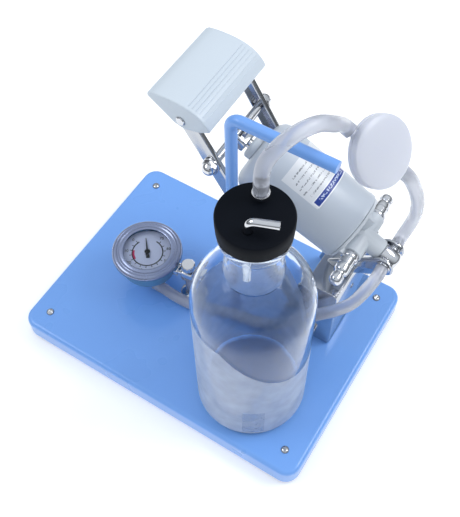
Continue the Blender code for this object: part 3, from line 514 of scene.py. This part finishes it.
core_line = bend_route([spot(76.3, -66, 212), spot(76.3, -66, 281), spot(97.2, -57.75, 281)], 0.0055)
bore(elbow, as_mesh(bent_tube("core", core_line, 0.0020, 8)))
soften(elbow, 0.3, 3, 50)
paint(settle(elbow), chrome, "base", "patient_elbow")


# The bracket is 2 mm steel sheet, folded into two cheeks, a web and a top, with two ears
# that carry the pump. It is nickel plated and polished. Hexagon bolts hold it to the tray.
def plate(name, outline, low, high, place, edge=0.25):
    """A flat piece: an (x, z) outline in millimetres, filled and pulled along Y."""
    bpy.ops.object.select_all(action="DESELECT")
    bpy.ops.mesh.primitive_plane_add(size=0.001, location=(0, 0, 0))
    piece = bpy.context.object
    piece.name = name
    bpy.ops.object.mode_set(mode="EDIT")
    bpy.ops.mesh.select_mode(type="VERT")
    bpy.ops.mesh.select_all(action="SELECT")
    bpy.ops.mesh.merge(type="CENTER")
    bpy.ops.transform.translate(value=(outline[0][0] * 0.001, low * 0.001, outline[0][1] * 0.001))
    for before, after in zip(outline, outline[1:]):
        step = ((after[0] - before[0]) * 0.001, 0, (after[1] - before[1]) * 0.001)
        bpy.ops.mesh.extrude_region_move(TRANSFORM_OT_translate={"value": step})
    bpy.ops.mesh.select_all(action="SELECT")
    bpy.ops.mesh.edge_face_add()
    bpy.ops.mesh.select_all(action="SELECT")
    bpy.ops.mesh.extrude_region_move(TRANSFORM_OT_translate={"value": (0, (high - low) * 0.001, 0)})
    bpy.ops.mesh.select_all(action="SELECT")
    bpy.ops.mesh.normals_make_consistent(inside=False)
    bpy.ops.object.mode_set(mode="OBJECT")
    if edge:
        soften(piece, edge, 2, 40)
    return settle(piece, place)


def rounded(points, radius, steps=8):
    """A closed outline with soft corners."""
    outline = []
    for index, corner in enumerate(points):
        here = Vector(corner)
        before = Vector(points[index - 1]) - here
        after = Vector(points[(index + 1) % len(points)]) - here
        reach = min(radius, before.length * 0.45, after.length * 0.45)
        start = here + before.normalized() * reach
        end = here + after.normalized() * reach
        for step in range(steps + 1):
            t = step / steps
            bend = start * (1 - t) ** 2 + here * 2 * t * (1 - t) + end * t ** 2
            outline.append((bend.x, bend.y))
    return outline


def pin(name, place, low, high, radius, edge=0.4, steps=48):
    """A round bar along a place's Z, chamfered at both ends."""
    profile = [(0, high), (radius - edge, high), (radius, high - edge), (radius, low + edge),
               (radius - edge, low), (0, low)]
    return lathe(name, profile, place, steps)


to_front = Matrix.Rotation(math.radians(90), 4, "X")
to_back = Matrix.Rotation(math.radians(-90), 4, "X")
pump_middle = Matrix.Translation(spot(0, 61.5, 0))
trunnion = Matrix.Translation(spot(138.3, 61.5, 118.9))
lever_foot = Matrix.Translation(spot(95, 61.5, 14))
sides = []
for side in (-1, 1):
    low, high = sorted((side * 38.9, side * 40.9))
    cheek = rounded([(60, 0.3), (114, 0.3), (114, 88), (82, 88)], 5)
    sides.append(plate("cheek", cheek, low, high, pump_middle))
    ear = rounded([(86, 86.5), (111, 86.5), (148, 113), (146, 126), (133, 128)], 6)
    sides.append(plate("ear", ear, side * 10.5 - 1, side * 10.5 + 1, pump_middle))
web = brick("bracket_sheet", (112, -40.4, 1.5), (114, 40.4, 87), pump_middle, 0.6)
top = brick("top", (84, -40.4, 86), (113, 40.4, 88), pump_middle, 0.5)
sole = brick("sole", (66, -40.4, 0.3), (113, 40.4, 2.3), pump_middle, 0.3)
bore(web, top, sole, *sides, join=True)
bore(web, pin("hole", lever_foot @ to_front, -60, 60, 5.3), pin("hole", trunnion @ to_front, -60, 60, 5.3))
paint(web, nickel, "base", "pump_bracket")
for number, side in enumerate((-1, 1), start=1):
    seat = upright(106.5, 61.5 + side * 24)
    bolt = lathe("bracket_bolt", [(0, 5.2), (3.9, 5.2), (3.9, 2.6), (0, 2.6)], seat, 6, 0.3)
    bore(bolt, pin("shank", seat, -9, 4, 2.0), join=True)
    bolt.name = f"hexagon_bolt_{number}"
    paint(bolt, nickel, "base", f"bracket_bolt_{number}")
paint(pin("lever_axle", lever_foot @ to_front, -46, 46, 5.0), chrome, "base", "lever_shaft")

# The lever is two channels of pressed steel, open to the inside, on a spacer tube. A
# cross pin with domed nuts joins them to the piston's fork.
lever_tilt = math.atan2(-10.5 - 95.0, 185.5 - 14.0)
lever_line = lever_foot @ Matrix.Rotation(lever_tilt, 4, "Y")
pin_height = math.hypot(105.5, 171.5)
cross_place = lever_line @ Matrix.Translation((0, 0, pin_height * 0.001))
pedal_place = lever_line @ Matrix.Translation((0, 0, 0.249))
for label, side, node in (("lever_channel_front", -1, "front_arm"), ("lever_channel_back", 1, "back_arm")):
    low, high = sorted((side * 38.5, side * 34.0))
    channel = brick(label, (-7.5, low, -8.5), (7.5, high, 258), lever_line, 0.7)
    low, high = sorted((side * 37.0, side * 31.0))
    trough = brick("trough", (-6.0, low, -20), (6.0, high, 270), lever_line)
    holes = [pin("hole", lever_foot @ to_front, -60, 60, 5.3),
             pin("hole", cross_place @ to_front, -60, 60, 4.3),
             pin("hole", pedal_place @ to_front, -60, 60, 4.3)]
    bore(channel, trough, *holes)
    paint(channel, nickel, "lever", node)
spacer = [(8.0, 33.5), (8.0, -33.5), (5.3, -33.5), (5.3, 33.5), (8.0, 33.5)]
paint(lathe("axle_spacer", spacer, lever_foot @ to_front, 48, 0.3), nickel, "lever", "pivot_spacer")
paint(pin("cross_rod", cross_place @ to_front, -43.5, 43.5, 4.0), chrome, "lever", "cross_pin")
for label, facing in (("front_acorn_nut", to_front), ("back_acorn_nut", to_back)):
    seat = cross_place @ facing
    dome = [(0, 48.8), (2.2, 48.5), (4.0, 47.4), (5.3, 45.8), (5.9, 44.0), (6.0, 41.5), (0, 41.5)]
    nut = lathe("nut", [(0, 44.6), (5.4, 44.6), (7.2, 43.6), (7.2, 39.9), (0, 39.9)], seat, 6, 0.2)
    bore(nut, lathe("dome", dome, seat, 48),
         lathe("rim", [(0, 40.3), (7.2, 40.2), (7.6, 39.7), (7.6, 38.8), (0, 38.8)], seat, 48), join=True)
    bore(nut, pin("hole", seat, 30, 43.8, 4.3))
    nut.name = label + "_piece"
    paint(nut, chrome, "lever", label)

# The pedal is a hollow cover moulded in off-white ABS, with fine ribs across its front
# slope for the sole of a shoe. A steel pin through its sides holds it to the channels.
abs_white = finish_of("moulded_white_abs", "#d6e0ea", 0.36, grain=1.2, depth=0.00003, spread=0.05,
                      tint=0.03)[0]
crown = [(-65.8, 238.0), (-65.2, 240.6), (-62.5, 242.6), (-56, 243.8), (-50, 244.3), (-43, 244.4),
         (-37, 244.1)]
crown += [(-31, 243.3), (-26, 242.0), (-21, 240.0), (-17, 237.6), (-13.4, 234.4), (-10.8, 231.2),
          (-9.4, 228.6)]
crown += [(-9.4, 226.8), (-18, 222), (-33, 218), (-42, 220.5), (-64.8, 237.2)]
cover = plate("pedal_shell", crown, -42, 42, pump_middle, 0)
soften(cover, 2.3, 6, 50)
hollow = [(-63.5, 236.0), (-61.5, 240.2), (-50, 242.1), (-37, 242.0), (-26.6, 239.8), (-18.3, 235.7),
          (-12.8, 229.6)]
hollow += [(-12.0, 226.0), (-16, 205), (-50, 205)]
ribs = []
for x, height in ((-29.5, 243.05), (-26.3, 242.2), (-23.1, 241.05), (-19.9, 239.5), (-16.9, 237.65),
                  (-14.2, 235.3)):
    line = Matrix.Translation(spot(x, 61.5, height)) @ to_front
    ribs.append(pin("rib", line, -38.5, 38.5, 0.34, 0.12, 12))
bore(cover, plate("room", hollow, -39.7, 39.7, pump_middle, 0),
     pin("hole", pedal_place @ to_front, -60, 60, 4.3))
bore(cover, *ribs, join=True)
paint(cover, abs_white, "lever", "pedal_cover")
paint(pin("pedal_rod", pedal_place @ to_front, -43.2, 43.2, 4.0, 0.6), chrome, "lever", "pedal_pin")


# The barrel is a glass-filled white plastic cylinder, moulded with a slight taper and a
# round shoulder. Its printed label has a blue bar and rows of small grey figures.
barrel_tilt = math.atan2(-10.5 - 138.3, 185.5 - 118.9)
barrel_line = trunnion @ Matrix.Rotation(barrel_tilt, 4, "Y")
barrel_white, shader = finish_of("moulded_white_nylon", "#c6ced9", 0.34, grain=1.6, depth=0.00003, tint=0.03)
where = add_node(barrel_white, "ShaderNodeTexCoord", {}).outputs["Object"]
low = add_node(barrel_white, "ShaderNodeVectorMath", {0: where, 1: tuple(spot(138.3, 61.5, 118.9))},
               operation="SUBTRACT")
held = add_node(barrel_white, "ShaderNodeMapping",
                {"Vector": low.outputs[0], "Rotation": (0, -barrel_tilt, 0)})
axes = add_node(barrel_white, "ShaderNodeSeparateXYZ", {"Vector": held.outputs["Vector"]})
round_it = add_node(barrel_white, "ShaderNodeMath", {0: axes.outputs["Y"], 1: axes.outputs["X"]},
                    operation="ARCTAN2")


def window(material, value, middle, half):
    """1 where a value is within half of its middle, and 0 elsewhere."""
    away = add_node(material, "ShaderNodeMath", {0: value, 1: middle}, operation="SUBTRACT")
    size = add_node(material, "ShaderNodeMath", {0: away.outputs[0]}, operation="ABSOLUTE")
    return add_node(material, "ShaderNodeMath", {0: size.outputs[0], 1: half},
                    operation="LESS_THAN").outputs[0]


def both(material, one, other):
    """1 where both values are 1."""
    return add_node(material, "ShaderNodeMath", {0: one, 1: other}, operation="MULTIPLY").outputs[0]


def print_over(material, shader, mask, code, strength=1.0):
    """Prints a colour over what the shader has, where the mask is 1."""
    under = shader.inputs["Base Color"].links[0].from_socket
    share = add_node(material, "ShaderNodeMath", {0: mask, 1: strength}, operation="MULTIPLY")
    mix = add_node(material, "ShaderNodeMix", {"Factor": share.outputs[0]}, data_type="RGBA")
    material.node_tree.links.new(under, mix.inputs[6])
    mix.inputs[7].default_value = linear(code)
    material.node_tree.links.new(mix.outputs[2], shader.inputs["Base Color"])


angle, height = round_it.outputs[0], axes.outputs["Z"]
panel = both(barrel_white, window(barrel_white, angle, 0.0, 0.80),
             window(barrel_white, height, 0.0945, 0.0185))
print_over(barrel_white, shader, panel, "#eceef2", 0.8)
frame_line = both(barrel_white, window(barrel_white, angle, 0.0, 0.76),
                  window(barrel_white, height, 0.0790, 0.0036))
print_over(barrel_white, shader, frame_line, "#f6f8fc")
bar = both(barrel_white, window(barrel_white, angle, 0.0, 0.72), window(barrel_white, height, 0.0790, 0.0027))
print_over(barrel_white, shader, bar, "#1c3c96")
letters = add_node(barrel_white, "ShaderNodeCombineXYZ", {"X": angle, "Y": height, "Z": 0.0})
marks = add_node(barrel_white, "ShaderNodeMapping",
                 {"Vector": letters.outputs[0], "Scale": (26.0, 560.0, 1.0)})
speck = add_node(barrel_white, "ShaderNodeTexNoise",
                 {"Vector": marks.outputs["Vector"], "Scale": 1.0, "Detail": 0.0})
ink = add_node(barrel_white, "ShaderNodeMath", {0: speck.outputs["Fac"], 1: 0.50},
               operation="GREATER_THAN").outputs[0]
name_row = both(barrel_white, window(barrel_white, angle, 0.0, 0.58),
                window(barrel_white, height, 0.0792, 0.0012))
print_over(barrel_white, shader, both(barrel_white, name_row, ink), "#cdd8f2", 0.9)
for row_at, reach in ((0.0865, 0.55), (0.0915, 0.62), (0.0965, 0.60), (0.1015, 0.56), (0.1065, 0.48)):
    row = both(barrel_white, window(barrel_white, angle, -0.12, reach),
               window(barrel_white, height, row_at, 0.0007))
    print_over(barrel_white, shader, both(barrel_white, row, ink), "#6c7078", 0.8)
skin = [(9.2, 142), (18, 142), (22.0, 141.8), (25.2, 141.0), (28.0, 139.6), (30.4, 137.4), (32.0, 134.8),
        (32.9, 131.9)]
skin += [(33.1, 129.0), (31.9, 78), (31.2, 47.4), (31.6, 46.8), (31.6, 42.6), (31.0, 42.0), (28.5, 42.0)]
skin += [(28.5, 136.0), (9.2, 138.0), (9.2, 142)]
paint(lathe("barrel_body", skin, barrel_line, 160), barrel_white, "cylinder", "pump_barrel")
gland = [(4.3, 149), (8.6, 149), (9.5, 148.6), (10.6, 147.4), (10.8, 146.6), (10.8, 142.3), (8.9, 142.3),
         (8.9, 136.0)]
gland += [(4.3, 136.0), (4.3, 149)]
part_white = finish_of("white_acetal", "#d9dfe6", 0.32, grain=1.4, depth=0.00003, tint=0.04)[0]
paint(lathe("gland_nut", gland, barrel_line, 72), part_white, "cylinder", "rod_gland")

# The valve head is turned from white acetal: a plug in the barrel, a boss along its line
# and a cross bar, with ribs on its face. Chromed brass fittings screw into the cross bar.
block = [(0, 51.5), (28.2, 51.5), (28.2, 41.7), (29.4, 41.7), (30.2, 41.2), (30.2, 39.8), (29.6, 38.9),
         (27, 38.2)]
block += [(12.0, 37.6), (10.3, 37.0), (9.4, 35.6), (9.2, 33.0), (9.0, 10.0), (8.4, 9.1), (3.0, 9.0), (0, 9.0)]
head = lathe("valve_block", block, barrel_line, 96)
port_place = barrel_line @ Matrix.Translation((0, 0, 0.028))
cross = pin("cross", port_place @ to_front, -22, 22, 8.2, 0.7, 64)
webs = [brick("web", (-27, -1.6, 31.5), (27, 1.6, 39), barrel_line, 0.5),
        brick("web", (-1.6, -27, 31.5), (1.6, 27, 39), barrel_line, 0.5)]
bore(head, cross, *webs, join=True)
bore(head, pin("hole", barrel_line, 5, 60, 3.0), pin("hole", port_place @ to_front, -30, 30, 3.0))
paint(head, part_white, "cylinder", "valve_head")
for label, facing, reach in (("exhaust_fitting", to_front, 54.0), ("relief_fitting", to_back, 47.8)):
    stretch = (reach - 22.3) / 31.7
    shape = [(0, 31.7), (1.8, 31.6), (3.4, 31.0), (4.8, 29.8), (5.5, 28.0), (5.7, 26.0), (5.6, 23.2),
             (4.7, 22.0)]
    shape += [(4.5, 21.2), (4.7, 20.2), (5.9, 19.3), (6.4, 18.0), (6.4, 13.0), (6.0, 12.6), (6.0, 11.8),
              (6.4, 11.4)]
    shape += [(6.4, 5.2), (7.3, 4.4), (7.5, 3.6), (7.5, 0.8), (7.1, 0.0), (0, 0)]
    place = port_place @ facing
    fitting = lathe(label + "_body", [(r, 22.3 + z * stretch) for r, z in shape], place, 80)
    grooves = []
    for turn_by in range(12):
        around = place @ Matrix.Rotation(turn_by * math.pi / 6, 4, "Z")
        grooves.append(brick("flute", (5.35, -0.45, 22.3 + 23.4 * stretch),
                             (7, 0.45, 22.3 + 27.5 * stretch), around))
    bore(fitting, *grooves)
    paint(fitting, chrome, "cylinder", label)
hub = [(0, 8.7), (7.2, 8.7), (7.9, 8.3), (8.2, 7.6), (8.2, -5.0), (7.6, -6.8), (6.2, -8.1), (3, -8.6),
       (0, -8.6)]
tee = lathe("tee_body", hub, barrel_line, 64)
run = [(0, 21.0), (2.4, 21.0), (3.8, 18.6), (3.8, 18.1), (3.0, 17.9), (3.8, 15.2), (3.8, 14.7), (3.0, 14.4),
       (3.0, 13.4)]
run += [(6.0, 13.2), (6.3, 12.8), (6.3, 11.9), (5.0, 11.7), (5.0, 0)]
run += [(r, -z) for r, z in reversed(run[:-1])]
bore(tee, lathe("run", run, barrel_line @ to_front, 64), join=True)
paint(tee, chrome, "cylinder", "suction_tee")
steel_fork = brick("piston_fork", (-6.5, -8, 151), (6.5, 8, 163.02 + 7), barrel_line, 1.6)
bore(steel_fork, brick("slot", (-9, -5.2, 156), (9, 5.2, 190), barrel_line, 0.0),
     pin("hole", barrel_line, 140, 158, 4.3),
     pin("hole", barrel_line @ Matrix.Translation((0, 0, 163.02 * 0.001)) @ to_front, -20, 20, 5.4))
paint(steel_fork, nickel, "piston", "rod_clevis")
paint(pin("piston_bar", barrel_line, 55.7, 155.6, 4.0), chrome, "piston", "piston_rod")


# Inside the barrel are a white piston with a rubber cup and a rubber flap, and inside the
# gauge are its brass spring tube and movement. They keep their plain shapes. The return
# spring is coiled steel wire between the piston and the barrel's end.
def coat(node, material):
    """Gives one of the plain inner pieces its finish."""
    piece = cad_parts[node]
    piece.data.materials.clear()
    piece.data.materials.append(material)


brass = finish_of("plain_brass", "#c9a25c", 0.30, 1.0, grain=0.8, depth=0.00001)[0]
coat("piston_disc", part_white)
for node in ("piston_cup", "intake_flap"):
    coat(node, rubber)
for node in ("bourdon_tube", "gauge_movement"):
    coat(node, brass)
coil_turns, steps_a_turn, coil_radius = 7, 32, 0.021
coil_foot, coil_end = 0.0639, 0.1326
coil_points = []
for step in range(coil_turns * steps_a_turn + 1):
    around = 2 * math.pi * step / steps_a_turn
    along = coil_foot + (coil_end - coil_foot) * step / (coil_turns * steps_a_turn)
    local = Vector((coil_radius * math.cos(around), coil_radius * math.sin(around), along))
    coil_points.append(barrel_line @ local)
coil = settle(as_mesh(bent_tube("return_coil", coil_points, 0.0011, 3)), sharp=60)
coil.data.materials.clear()
coil.data.materials.append(nickel)
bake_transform(coil)
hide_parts("return_spring")

# The gauge has a spun steel case in blue-grey enamel, a wide grey flange with turned rings,
# a glass lens and a white dial. The dial has a black ring, ticks, figures and a red arc.
gauge_place = upright(-70.0, -5.5)
case_enamel = finish_of("blue_grey_enamel", "#5f8fb4", 0.34, grain=1.0, depth=0.00001)[0]
case = [(33.4, 46.6), (33.4, 45.4), (33.0, 44.6), (28.4, 44.0), (27.2, 43.2), (27.0, 42.0), (27.0, 26.5),
        (26.4, 25.0)]
case += [(25.0, 24.0), (0, 24.0), (0, 25.8), (24.8, 25.8), (25.4, 26.4), (25.4, 46.6), (33.4, 46.6)]
paint(lathe("gauge_cup", case, gauge_place, 128), case_enamel, "base", "gauge_case")
bezel_metal = finish_of("satin_grey_chrome", "#959fbd", 0.26, 0.75, grain=0.5, depth=0.00001, spread=0.06)[0]
ring = [(22.4, 50.3), (22.6, 50.8), (23.4, 51.2), (24.6, 51.2), (25.4, 50.7), (26.2, 50.6), (27.0, 51.1),
        (27.8, 51.3)]
ring += [(28.5, 51.0), (29.0, 50.5), (29.5, 50.5), (30.1, 50.9), (31.0, 50.7), (32.2, 49.9), (33.1, 48.7),
         (33.4, 47.4)]
ring += [(33.2, 46.9), (26.0, 46.9), (26.0, 50.1), (22.4, 50.3)]
paint(lathe("gauge_flange", ring, gauge_place, 128), bezel_metal, "base", "gauge_bezel")
lens_glass, shader = finish_of("flat_gauge_glass", "#f6fafc", 0.02, spread=0.01, tint=0.0)
shader.inputs["Transmission Weight"].default_value = 1.0
shader.inputs["IOR"].default_value = 1.12
lens = [(0, 50.0), (20.0, 49.9), (25.4, 49.6), (25.7, 49.2), (25.7, 48.3), (0, 48.3)]
paint(lathe("gauge_glass", lens, gauge_place, 96), lens_glass, "base", "gauge_lens")
dial_white, shader = finish_of("printed_dial", "#cccfe8", 0.5, grain=0.8, depth=0.000004, tint=0.02)
where = add_node(dial_white, "ShaderNodeTexCoord", {}).outputs["Object"]
centred = add_node(dial_white, "ShaderNodeMapping", {"Vector": where, "Location": (0.070, 0.0055, 0)})
axes = add_node(dial_white, "ShaderNodeSeparateXYZ", {"Vector": centred.outputs["Vector"]})
flat_place = add_node(dial_white, "ShaderNodeCombineXYZ",
                      {"X": axes.outputs["X"], "Y": axes.outputs["Y"], "Z": 0.0})
reach = add_node(dial_white, "ShaderNodeVectorMath", {0: flat_place.outputs[0]},
                 operation="LENGTH").outputs["Value"]
turn_axes = add_node(dial_white, "ShaderNodeMapping",
                     {"Vector": flat_place.outputs[0], "Rotation": (0, 0, math.radians(-300))})
turned_axes = add_node(dial_white, "ShaderNodeSeparateXYZ", {"Vector": turn_axes.outputs["Vector"]})
sweep = add_node(dial_white, "ShaderNodeMath", {0: turned_axes.outputs["Y"], 1: turned_axes.outputs["X"]},
                 operation="ARCTAN2").outputs[0]
scale = window(dial_white, sweep, 0.05, 2.55)
print_over(dial_white, shader, both(dial_white, window(dial_white, reach, 0.0145, 0.0006), scale), "#1d1f2c")
red = both(dial_white, window(dial_white, reach, 0.0132, 0.0009), window(dial_white, sweep, -1.35, 0.38))
print_over(dial_white, shader, red, "#c2255c")
beat = add_node(dial_white, "ShaderNodeMath", {0: sweep, 1: 0.17}, operation="PINGPONG").outputs[0]
ticks = both(dial_white, window(dial_white, beat, 0.0, 0.022), window(dial_white, reach, 0.0160, 0.0012))
print_over(dial_white, shader, both(dial_white, ticks, scale), "#23242e")
dial = [(1.8, 44.4), (24.0, 44.4), (25.0, 44.3), (25.0, 43.6), (1.8, 43.6), (1.8, 44.4)]
paint(lathe("dial_plate", dial, gauge_place, 96), dial_white, "base", "gauge_dial")
black_paint = finish_of("matt_black_paint", "#14161c", 0.45, grain=0.8, depth=0.000005, tint=0.1)[0]
figures = []
for number in range(0, 8):
    at = math.radians(300 - 138 + 5 + number * 39.4)
    bpy.ops.object.select_all(action="DESELECT")
    bpy.ops.object.text_add(location=(0, 0, 0))
    figure = bpy.context.object
    figure.data.body = str(number * 10)
    figure.data.size = 0.0042
    figure.data.extrude = 0.00005
    figure.data.align_x = "CENTER"
    figure.data.align_y = "CENTER"
    bpy.ops.object.convert(target="MESH")
    figure.location = spot(-70 + 20.2 * math.cos(at), -5.5 + 20.2 * math.sin(at), 44.5)
    figure.rotation_euler = (0, 0, math.radians(31.9))
    bpy.ops.object.transform_apply(location=True, rotation=True, scale=True)
    figures.append(figure)
bpy.ops.object.select_all(action="DESELECT")
for figure in figures:
    figure.select_set(True)
bpy.context.view_layer.objects.active = figures[0]
bpy.ops.object.join()
figures[0].name = "dial_figures"
paint(figures[0], black_paint, "base")
pointer = [(-1.7, -6.5), (1.7, -6.5), (1.5, -3.0), (1.1, 0), (0.75, 4), (0.35, 15.6), (-0.35, 15.6),
           (-0.75, 4), (-1.1, 0), (-1.5, -3)]
needle_turn = Matrix.Rotation(math.radians(130 + 90), 4, "Z")
needle_place = gauge_place @ Matrix.Translation((0, 0, 0.0456)) @ needle_turn
needle = plate("needle", pointer, -0.3, 0.3, needle_place @ to_front, 0.05)
bore(needle, pin("hub", gauge_place, 40.0, 46.3, 1.4), pin("cap", gauge_place, 45.4, 47.0, 2.6), join=True)
paint(needle, black_paint, "needle", "gauge_needle")

# A chromed stem with a hexagon collar joins the gauge to its post, a bar with a cube of
# valve on top. A fluted knob on the cube sets the vacuum. The hose ends on a bent spigot.
gauge_turn = Matrix.Rotation(math.radians(8), 4, "Z")
stem_place = Matrix.Translation(spot(-70, -5.5, 35)) @ gauge_turn @ Matrix.Rotation(math.radians(90), 4, "Y")
stem = pin("stem_bar", stem_place, 22, 36.7, 4.2)
bore(stem, lathe("collar", [(0, 33.0), (6.3, 33.0), (6.3, 27.6), (0, 27.6)], stem_place, 6, 0.4), join=True)
paint(stem, chrome, "base", "gauge_stem")
post_x, post_y = -70 + 43 * math.cos(math.radians(8)), -5.5 + 43 * math.sin(math.radians(8))
post_place = upright(post_x, post_y) @ gauge_turn
column = [(0, 30), (4.5, 30), (4.5, 5.0), (5.0, 3.8), (8.6, 3.0), (9.3, 2.4), (9.5, 1.6), (9.5, 0.3),
          (1.9, 0.3), (1.9, -9), (0, -9)]
post = lathe("valve_post", column, post_place, 64)
bore(post, brick("cube", (-6, -6, 28.5), (6, 6, 41.5), post_place, 1.4), join=True)
paint(post, chrome, "base", "gauge_post")
knob = pin("knob_cap", post_place, 44.4, 51.6, 6.7, 1.0, 64)
spins = [Matrix.Rotation(k * math.pi / 6, 4, "Z") for k in range(12)]
rim = Matrix.Translation((0.0073, 0, 0))
flutes = [pin("flute", post_place @ spin @ rim, 43, 53, 1.25, 0.1, 20) for spin in spins]
bore(knob, *flutes)
bore(knob, pin("neck", post_place, 41.8, 46, 3.0), join=True)
paint(knob, chrome, "knob", "vacuum_knob")
spigot = bend_route([spot(-70, -13, 28.5), spot(-70, -13, 5.9), spot(-53, -13, 5.9)], 0.0065)
paint(settle(as_mesh(bent_tube("hose_spigot", spigot, 0.0031, 8))), chrome, "base", "gauge_elbow")

# The filter is a disc of two milky polypropylene shells, welded at the rim round a paper
# membrane, with a port at each end of a diameter for the hoses.
filter_middle = (filter_in + filter_out) / 2
side_way = filter_face.cross(filter_run)
axes_of = Matrix((filter_run, side_way, filter_face)).transposed().to_4x4()
filter_place = Matrix.Translation(spot(*filter_middle)) @ axes_of
milky, shader = finish_of("milky_polypropylene", "#eceffd", 0.38, grain=2.0, depth=0.00002, tint=0.03)
shader.inputs["Transmission Weight"].default_value = 0.15
shader.inputs["Subsurface Weight"].default_value = 0.3
shader.inputs["Subsurface Radius"].default_value = (0.004, 0.004, 0.005)
back = [(0, -0.2), (22.8, -0.2), (22.8, -1.7), (25.2, -1.7), (25.8, -2.2), (26.0, -3.0), (25.9, -4.0),
        (25.2, -4.9)]
back += [(23.0, -5.8), (12, -7.2), (0, -8.2)]
rear = lathe("filter_rear_shell", back, filter_place, 128)
port_line = filter_place @ Matrix.Rotation(math.radians(90), 4, "Y") @ Matrix.Translation((0.0046, 0, 0))
bore(rear, pin("port", port_line, 20, 32, 3.2), pin("port", port_line, -32, -20, 3.2), join=True)
paint(rear, milky, "base", "filter_back")
front = [(0, 8.2), (10, 7.7), (17, 6.9), (22.0, 6.0), (24.2, 5.3), (25.6, 4.2), (26.0, 2.8), (26.0, -0.6),
         (25.6, -1.3)]
front += [(23.3, -1.3), (23.3, 1.2), (0, 1.2)]
paint(lathe("filter_front_shell", front, filter_place, 128), milky, "base", "filter_front")
for label, (hose, line) in hoses.items():
    long = sum((q - p).length for p, q in zip(line, line[1:]))
    tuple(line[0])

low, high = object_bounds()
{"cad": [list(cad_low), list(cad_high)], "scene": [list(low), list(high)]}
